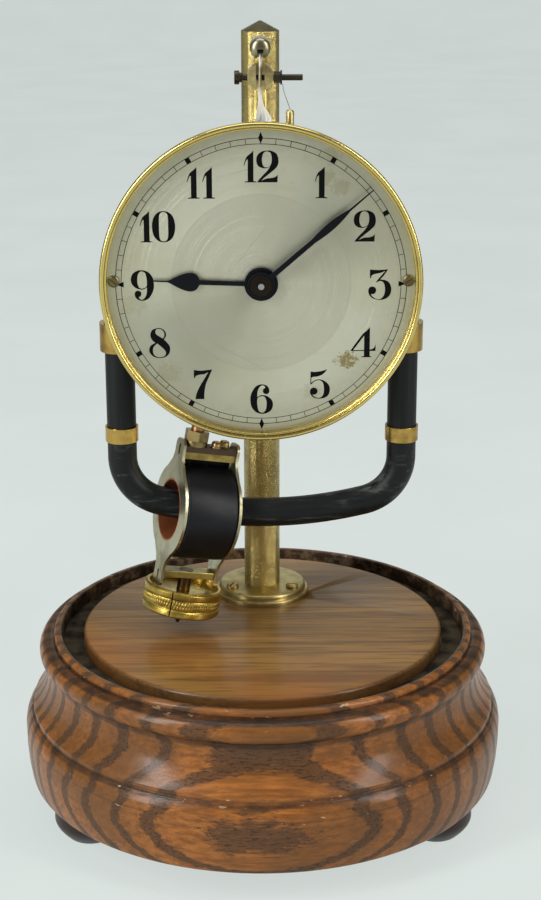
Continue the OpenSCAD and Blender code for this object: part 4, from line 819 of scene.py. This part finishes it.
def dial_track():
    """The minute track: two fine rings, a stroke for each minute, blocks, diamonds and arrowheads."""
    outer, outer_line, inner, inner_line = 57.0, 0.26, 54.8, 0.24
    block_half, stroke_half, arrow_half = 0.95, 0.11, 1.1
    foot, head = inner + 0.02, outer - 0.28
    turn = np.linspace(0, 2 * pi, 240, endpoint=False)
    circle = np.stack([np.sin(turn), np.cos(turn)], -1)
    outlines = [circle * r for r in (outer, outer - outer_line, inner, inner - inner_line)]
    for minute in range(60):
        angle = minute * pi / 30
        out = np.array([sin(angle), cos(angle)])
        side = np.array([cos(angle), -sin(angle)])
        half = stroke_half if minute % 5 else block_half
        shape = [(foot, -half), (foot, half), (head, half), (head, -half)]
        if minute % 30 == 0:
            shape = [(outer - 2.3, 0), (outer, block_half), (outer + 2.3, 0), (outer, -block_half)]
        elif minute % 15 == 0:
            base, tip = inner - arrow_half, outer - 0.3
            shape = [(base, -arrow_half), (base, arrow_half), (tip, 0.05), (tip, -0.05)]
        outlines.append(np.array([out * r + side * s for r, s in shape]))
    return [outline - [0, track_drop] for outline in outlines]


track = dial_track()
inked("dial_track_rings", track[:4])
for index in range(4):
    inked(f"dial_track_marks_{index}", track[4 + index * 15:19 + index * 15])


# Bezel: the construction's own profile with finer curves
def arc(centre, radius, first_deg, last_deg, steps=16):
    """Points on a circle between two angles."""
    turn = np.radians(np.linspace(first_deg, last_deg, steps))
    return [*zip(centre[0] + radius * np.cos(turn), centre[1] + radius * np.sin(turn))]


def facing(y):
    """Carries a ring about Z to the dial's middle, at a place along Y, with its height to the front."""
    return Matrix.Translation((0, float(y), float(dial_centre[2]))) @ Matrix.Rotation(pi / 2, 4, "X")


def bezel_ring():
    """A profile of radius and height before the dial's back: skirt, outer roll, groove, lip and rebate."""
    low, high = (np.array(corner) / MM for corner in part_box("bezel"))
    skirt, skirt_wall, lap, width = 1.6, 0.6, 1.9, 3.0
    roll_r, lip_bead_r = 1.1, 0.6
    dial_back = high[1] - skirt
    top = dial_back - low[1]
    dial_thick = dial_back - dial_y
    outer, dial_r, lip_r = high[0], high[0] - lap, high[0] - width
    roll = arc((outer - roll_r, top - roll_r), roll_r, 0, 130)
    lip = arc((lip_r + 0.7, top - 1.4), lip_bead_r, 60, 180)
    profile = [(dial_r, -skirt), (dial_r + skirt_wall, -skirt), (outer, top - 3), *roll,
               (lip_r + 1.25, top - 1.3), *lip, (lip_r, dial_thick), (dial_r, dial_thick)]
    points, faces = turned_ring(profile, 256)
    points = moved(points, facing(dial_back))
    outward(add_piece("bezel_turned", points, faces, "frame", "bezel_brass", slot_of["bezel"], ["bezel"]))


bezel_ring()


# Hub: a thin domed washer in front of the minute hand
def hub_washer():
    """A closed ring profile about Y, thin at its rim and thicker inside."""
    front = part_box("minute_hand")[0][1] / MM
    profile = [(1.35, 0.02), (4.05, 0.02), (4.15, 0.10), (4.05, 0.22), (2.6, 0.42), (1.7, 0.46), (1.35, 0.40)]
    points, faces = turned_ring(profile, 64)
    points = moved(points, facing(front))
    outward(add_piece("hand_washer", points, faces, "centre", "hub_bronze", "spring_steel"))


hub_washer()


# Upper stud: a domed head on its neck, with the notch and peg for the silk
stud_height = float(flex[2]) + upper_stud_rise
peg_drop = 1.4
peg_r = 0.6


def stud_meshes():
    """The stud, turned about Y from a quarter ellipse, a side and a neck, and the box that cuts its notch."""
    dome, head_r, head_l, neck_r, stud_l, edge = 2.6, 4.1, 12, 2.2, 38.6, 0.4
    notch_half, notch_depth, notch_low, notch_high = 1.2, 8, 6, 0.2
    near_axis = 0.05
    a = np.linspace(0.02, pi / 2, 16)
    profile = [*zip(head_r * np.sin(a), dome * (1 - np.cos(a))), (head_r, head_l - edge),
               (head_r - edge, head_l), (neck_r, head_l), (neck_r, stud_l), (near_axis, stud_l)]
    points, faces = turned_ring(profile, 64)
    turn = Matrix.Translation((0, stud_front, stud_height)) @ Matrix.Rotation(-pi / 2, 4, "X")
    body = bpy.data.meshes.new("upper_stud_body")
    body.from_pydata((moved(points, turn) * MM).tolist(), [], faces)
    shape = bmesh.new()
    shape.from_mesh(body)
    bmesh.ops.remove_doubles(shape, verts=shape.verts, dist=(near_axis + 0.01) * MM)
    bmesh.ops.recalc_face_normals(shape, faces=shape.faces)
    shape.to_mesh(body)
    shape.free()
    block = bpy.data.meshes.new("stud_notch")
    corners = [(x, y, z) for x in (-notch_half, notch_half)
               for y in (stud_front - 1, stud_front + notch_depth)
               for z in (stud_height - notch_low, stud_height - notch_high)]
    sides = [(0, 1, 3, 2), (4, 6, 7, 5), (0, 4, 5, 1), (2, 3, 7, 6), (0, 2, 6, 4), (1, 5, 7, 3)]
    block.from_pydata((np.array(corners) * MM).tolist(), [], sides)
    return body, block


def domed_stud():
    """Cuts the notch out of the stud and lays the peg across it."""
    stud, cutter = (bpy.data.objects.new(mesh.name, mesh) for mesh in stud_meshes())
    for holder in (stud, cutter):
        bpy.context.scene.collection.objects.link(holder)
    cut = stud.modifiers.new("notch", "BOOLEAN")
    cut.object = cutter
    cut.operation = "DIFFERENCE"
    cut.solver = "EXACT"
    done = bpy.data.meshes.new_from_object(stud.evaluated_get(bpy.context.evaluated_depsgraph_get()))
    done.name = "upper_stud_domed"
    for holder in (stud, cutter):
        bpy.data.objects.remove(holder)
    piece = bpy.data.objects.new("upper_stud_domed", done)
    finish_piece(piece, "frame", "stud_steel", ["upper_stud"], 30)
    run = np.linspace(-2.6, 2.6, 9)
    peg = np.stack([run, np.full(9, float(swing_y)), np.full(9, stud_height - peg_drop)], -1)
    add_piece("silk_peg", *tube(peg, peg_r, 20), "frame", "dark_steel", "stud_brass")


domed_stud()


# Silk ribbon: a gathered strip, almost edge on between the studs and opening below them
silk_w = 7.5
silk_thick = 0.12
chop_drop = 18
# How far the strip's middle lies aside and how far its half width shows, at drops below the flexing point
silk_top = upper_stud_rise - peg_drop - peg_r - 0.05
silk_knots = [-silk_top, 0, 3, 5, 7, 9.5, 11.2, 12.6, 15, chop_drop]
silk_aside = [0, -0.1, 0, 0.1, 0.35, 1.1, 1.3, 0.8, -2.32, -2.78]
silk_shown = [0.3, 0.5, 0.56, 0.85, 1.5, 2.5, 3.2, 3.7, 4.2, 4.25]


def silk_strip():
    """Rows of points across a strip: each row is a line turned about the hanging line, with pleats added."""
    rows, across = 72, 41
    drop = np.linspace(-silk_top, chop_drop, rows)
    aside = np.interp(drop, silk_knots, silk_aside)
    shown = np.interp(drop, silk_knots, silk_shown)
    ease = np.ones(5) / 5
    aside[2:-2] = np.convolve(aside, ease, "valid")
    shown[2:-2] = np.convolve(shown, ease, "valid")
    below = np.clip(drop / chop_drop, 0, 1)
    half = silk_w * (0.8 + 0.35 * below) / 2
    share = np.clip(shown / half, 0, 1)
    v = np.linspace(-1, 1, across)
    fold = (0.16 + 0.08 * below)[:, None] * np.sin(v[None] * 13 + 0.6 + 0.12 * drop[:, None])
    along = np.stack([share, np.sqrt(1 - share ** 2), 0 * share], -1)
    out = np.stack([-np.sqrt(1 - share ** 2), share, 0 * share], -1)
    height = flex[2] - np.where(drop > 0, drop * cos(rest_swing), drop)
    centre = np.stack([aside, np.full(rows, float(swing_y)), height], -1)
    spread = half[:, None, None] * v[None, :, None] * along[:, None]
    points = centre[:, None] + spread + fold[..., None] * out[:, None]
    return points.reshape(-1, 3), grid_faces(rows, across, closed=False)


silk = add_piece("silk_strip", *silk_strip(), None, "silk", "silk", ["silk_ribbon"], 180)
thick = silk.modifiers.new("cloth_thickness", "SOLIDIFY")
thick.thickness = silk_thick * MM
thick.offset = 0
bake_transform(silk)


# Fine wire from the cross bolt's washer to the terminal post
def link_wire():
    """A curve through five knots: shares of the straight way between its ends, and a sag at each."""
    washer_low = (8.75, 1, flex[2] + 2)
    post_top = (11.4, -12.2, flex[2] - 6.05)
    shares = np.array([[0, 0], [0.15, 0.14], [0.4, 0.35], [0.75, 0.68], [1, 1]])
    sags = np.array([0, -1.3, -1.5, -0.9, 0])
    knots = np.array(washer_low) + (np.array(post_top) - washer_low) * shares[:, [0, 1, 1]]
    knots[:, 2] += sags
    wire = tube(smooth_path(knots, 12), 0.13, 12)
    add_piece("link_wire_drawn", *wire, "frame", "tinned_wire", "tinned_wire", ["link_wire"])


link_wire()


# Knurling on the rating nut's waist: a ring of teeth, open where the nut is slit
def nut_knurl():
    """Radius swings with the turn in two sets of teeth, one above the other and half a tooth apart."""
    low, high, inner, waist_r, swell = -38.75, -35.4, 15.6, 16.12, 0.10
    teeth, tooth_rise, slit, slit_deg = 84, 0.18, 0.075, 235
    heights = np.linspace(low, high, 13)
    outer = waist_r + swell * np.sin(np.linspace(0, pi, 13))
    profile = [(inner, low), *zip(outer, heights), (inner, high)]

    def relief(turn, profile):
        upper = np.clip((profile[..., 1] - low) / (high - low), 0, 1)
        skin = np.where(profile[..., 0] > inner + 0.1, 1.0, 0.0)
        wave = np.where(upper > 0.5, np.cos(turn * teeth), np.cos(turn * teeth + pi))
        depth = np.abs(np.sin(upper * 2 * pi)) ** 0.5
        return skin * depth * (tooth_rise * wave + 0.05)

    points, faces = turned_ring(profile, teeth * 6, relief, gap=slit)
    points = moved(points, at_coil @ Matrix.Rotation(radians(slit_deg), 4, "Z"))
    outward(add_piece("nut_knurl", points, faces, "rating_nut", "nut_brass", "nut_brass"))


nut_knurl()


# Painted shade: a soft black strip under the coil's top bar, where the bar's shadow falls
def lead_wrap():
    """A flattened black bar along the coil, its middle wavering a little between the winding and the top bar,
    as painted shade under the bar.
    """
    half_length, height, half_thick = 10.6, 22.25, 0.78
    run = np.linspace(-half_length, half_length, 40)
    rise = height + 0.16 * np.sin(run * 1.7) + 0.1 * np.sin(run * 4.1)
    path = np.stack([run, 0.3 + 0.2 * np.sin(run * 0.9), rise], -1)
    points, faces = tube(path, half_thick, 20, flat=3.6)
    # A black piece that stands for the shade under the top bar
    outward(add_piece("lead_wrap", moved(points, at_coil), faces, "bob", "winding_black", "winding_black"))


lead_wrap()


# Floor, backdrop and light
def sweep():
    """A pale sheet that lies under the clock and rises in a wide bend behind it."""
    reach, bend, start, wall, columns = 8.0, 1.2, 3.0, 5.0, 8
    quarter = np.linspace(0, pi / 2, 24)
    run = np.concatenate([[-reach, -1.0, 0.0], bend * np.sin(quarter) + start, [bend + start]])
    rise = np.concatenate([[0, 0, 0], bend * (1 - np.cos(quarter)), [wall]])
    side = np.linspace(-reach, reach, columns)
    points = np.stack(np.broadcast_arrays(side[None], run[:, None], rise[:, None]), -1)
    mesh = bpy.data.meshes.new("sweep")
    mesh.from_pydata(points.reshape(-1, 3).tolist(), [],
                     grid_faces(len(run), columns, closed=False)[:, ::-1].tolist())
    mesh.polygons.foreach_set("use_smooth", np.ones(len(mesh.polygons), bool))
    sheet = bpy.data.objects.new("sweep", mesh)
    bpy.context.scene.collection.objects.link(sheet)
    mesh.materials.append(backdrop_paper())
    sheet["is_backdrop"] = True


def backdrop_paper():
    """Pale paper that glows where the camera, gloss and glass see it, and keeps the clock's shadow."""
    glow_share = 0.8
    paper = Finish("backdrop_paper", Roughness=0.9)
    mottle = paper.noise(7, 3, 0.5)
    tone = paper.mix(mottle.between(0.3, 0.7) * 0.5, paint(216, 224, 221), paint(223, 230, 227))
    paper.set(Base_Color=tone)
    rays = paper.node("ShaderNodeLightPath", out=None)
    camera, gloss, glass = (Wire(paper, rays.outputs[f"Is {kind} Ray"])
                            for kind in ("Camera", "Glossy", "Transmission"))
    glow = paper.node("ShaderNodeEmission", inputs={"Color": tone, "Strength": 1.0})
    seen = camera.most(gloss).most(glass) * glow_share
    blend = paper.node("ShaderNodeMixShader", inputs=[seen, Wire(paper, paper.shader.outputs[0]), glow])
    paper.feed(paper.tree.nodes["Material Output"].inputs["Surface"], blend)
    return paper.material


flag_cloth = Finish("flag_cloth", Base_Color=paint(128, 128, 116), Roughness=1.0, Specular_IOR_Level=0.0)


def grey_flag(name, first_deg, last_deg):
    """A grey upright panel beside the clock, an arc about its middle, that only its gloss shows."""
    reach, foot, head, columns = 0.8, 0.02, 1.3, 16
    turn = np.radians(np.linspace(first_deg, last_deg, columns))
    rows = [np.stack([np.sin(turn) * reach, -np.cos(turn) * reach, np.full(columns, up)], -1)
            for up in (foot, head)]
    mesh = bpy.data.meshes.new(name)
    mesh.from_pydata(np.concatenate(rows).tolist(), [], grid_faces(2, columns, closed=False).tolist())
    panel = bpy.data.objects.new(name, mesh)
    bpy.context.scene.collection.objects.link(panel)
    mesh.materials.append(flag_cloth.material)
    panel.visible_camera = False
    panel.visible_diffuse = False
    panel.visible_shadow = False
    panel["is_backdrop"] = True


grey_flag("flag_left", -166, -92)
grey_flag("flag_right", 92, 166)


def lamp(name, place, aim, size, watts, tint=(1, 1, 1)):
    """A soft lamp of a given width and height turned towards a point."""
    data = bpy.data.lights.new(name, "AREA")
    data.shape = "RECTANGLE"
    data.size, data.size_y = size
    data.energy = watts
    data.color = tint
    light = bpy.data.objects.new(name, data)
    light.location = place
    light.rotation_euler = (Vector(aim) - Vector(place)).to_track_quat("-Z", "Y").to_euler()
    light.visible_camera = False
    bpy.context.scene.collection.objects.link(light)


sweep()
lamp("window_left", (-1.15, -0.85, 0.9), (0, 0, 0.15), (0.32, 1.5), 24, (0.97, 0.99, 1))
lamp("window_right", (1.15, -0.75, 0.85), (0, 0, 0.15), (0.28, 1.4), 14, (1, 0.99, 0.96))
lamp("overhead", (0.0, 0.0, 1.6), (0, 0, 0.1), (1.2, 0.8), 7)

# The room: dim as light, pale where the camera looks past the floor
room_light = 0.24
camera_light = 0.52
world = bpy.data.worlds.new("studio")
bpy.context.scene.world = world
world.use_nodes = True
room = Nodes(world.node_tree)
sky = world.node_tree.nodes["Background"]
room.feed(sky.inputs["Color"], (0.80, 0.84, 0.84, 1))
seen = room.node("ShaderNodeLightPath", out="Is Camera Ray")
room.feed(sky.inputs["Strength"], seen * camera_light + room_light)
bpy.context.scene.view_settings.view_transform = "Standard"

rows = [[[float(v) for v in corner] for corner in bounds] for bounds in (cad_bounds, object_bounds())]
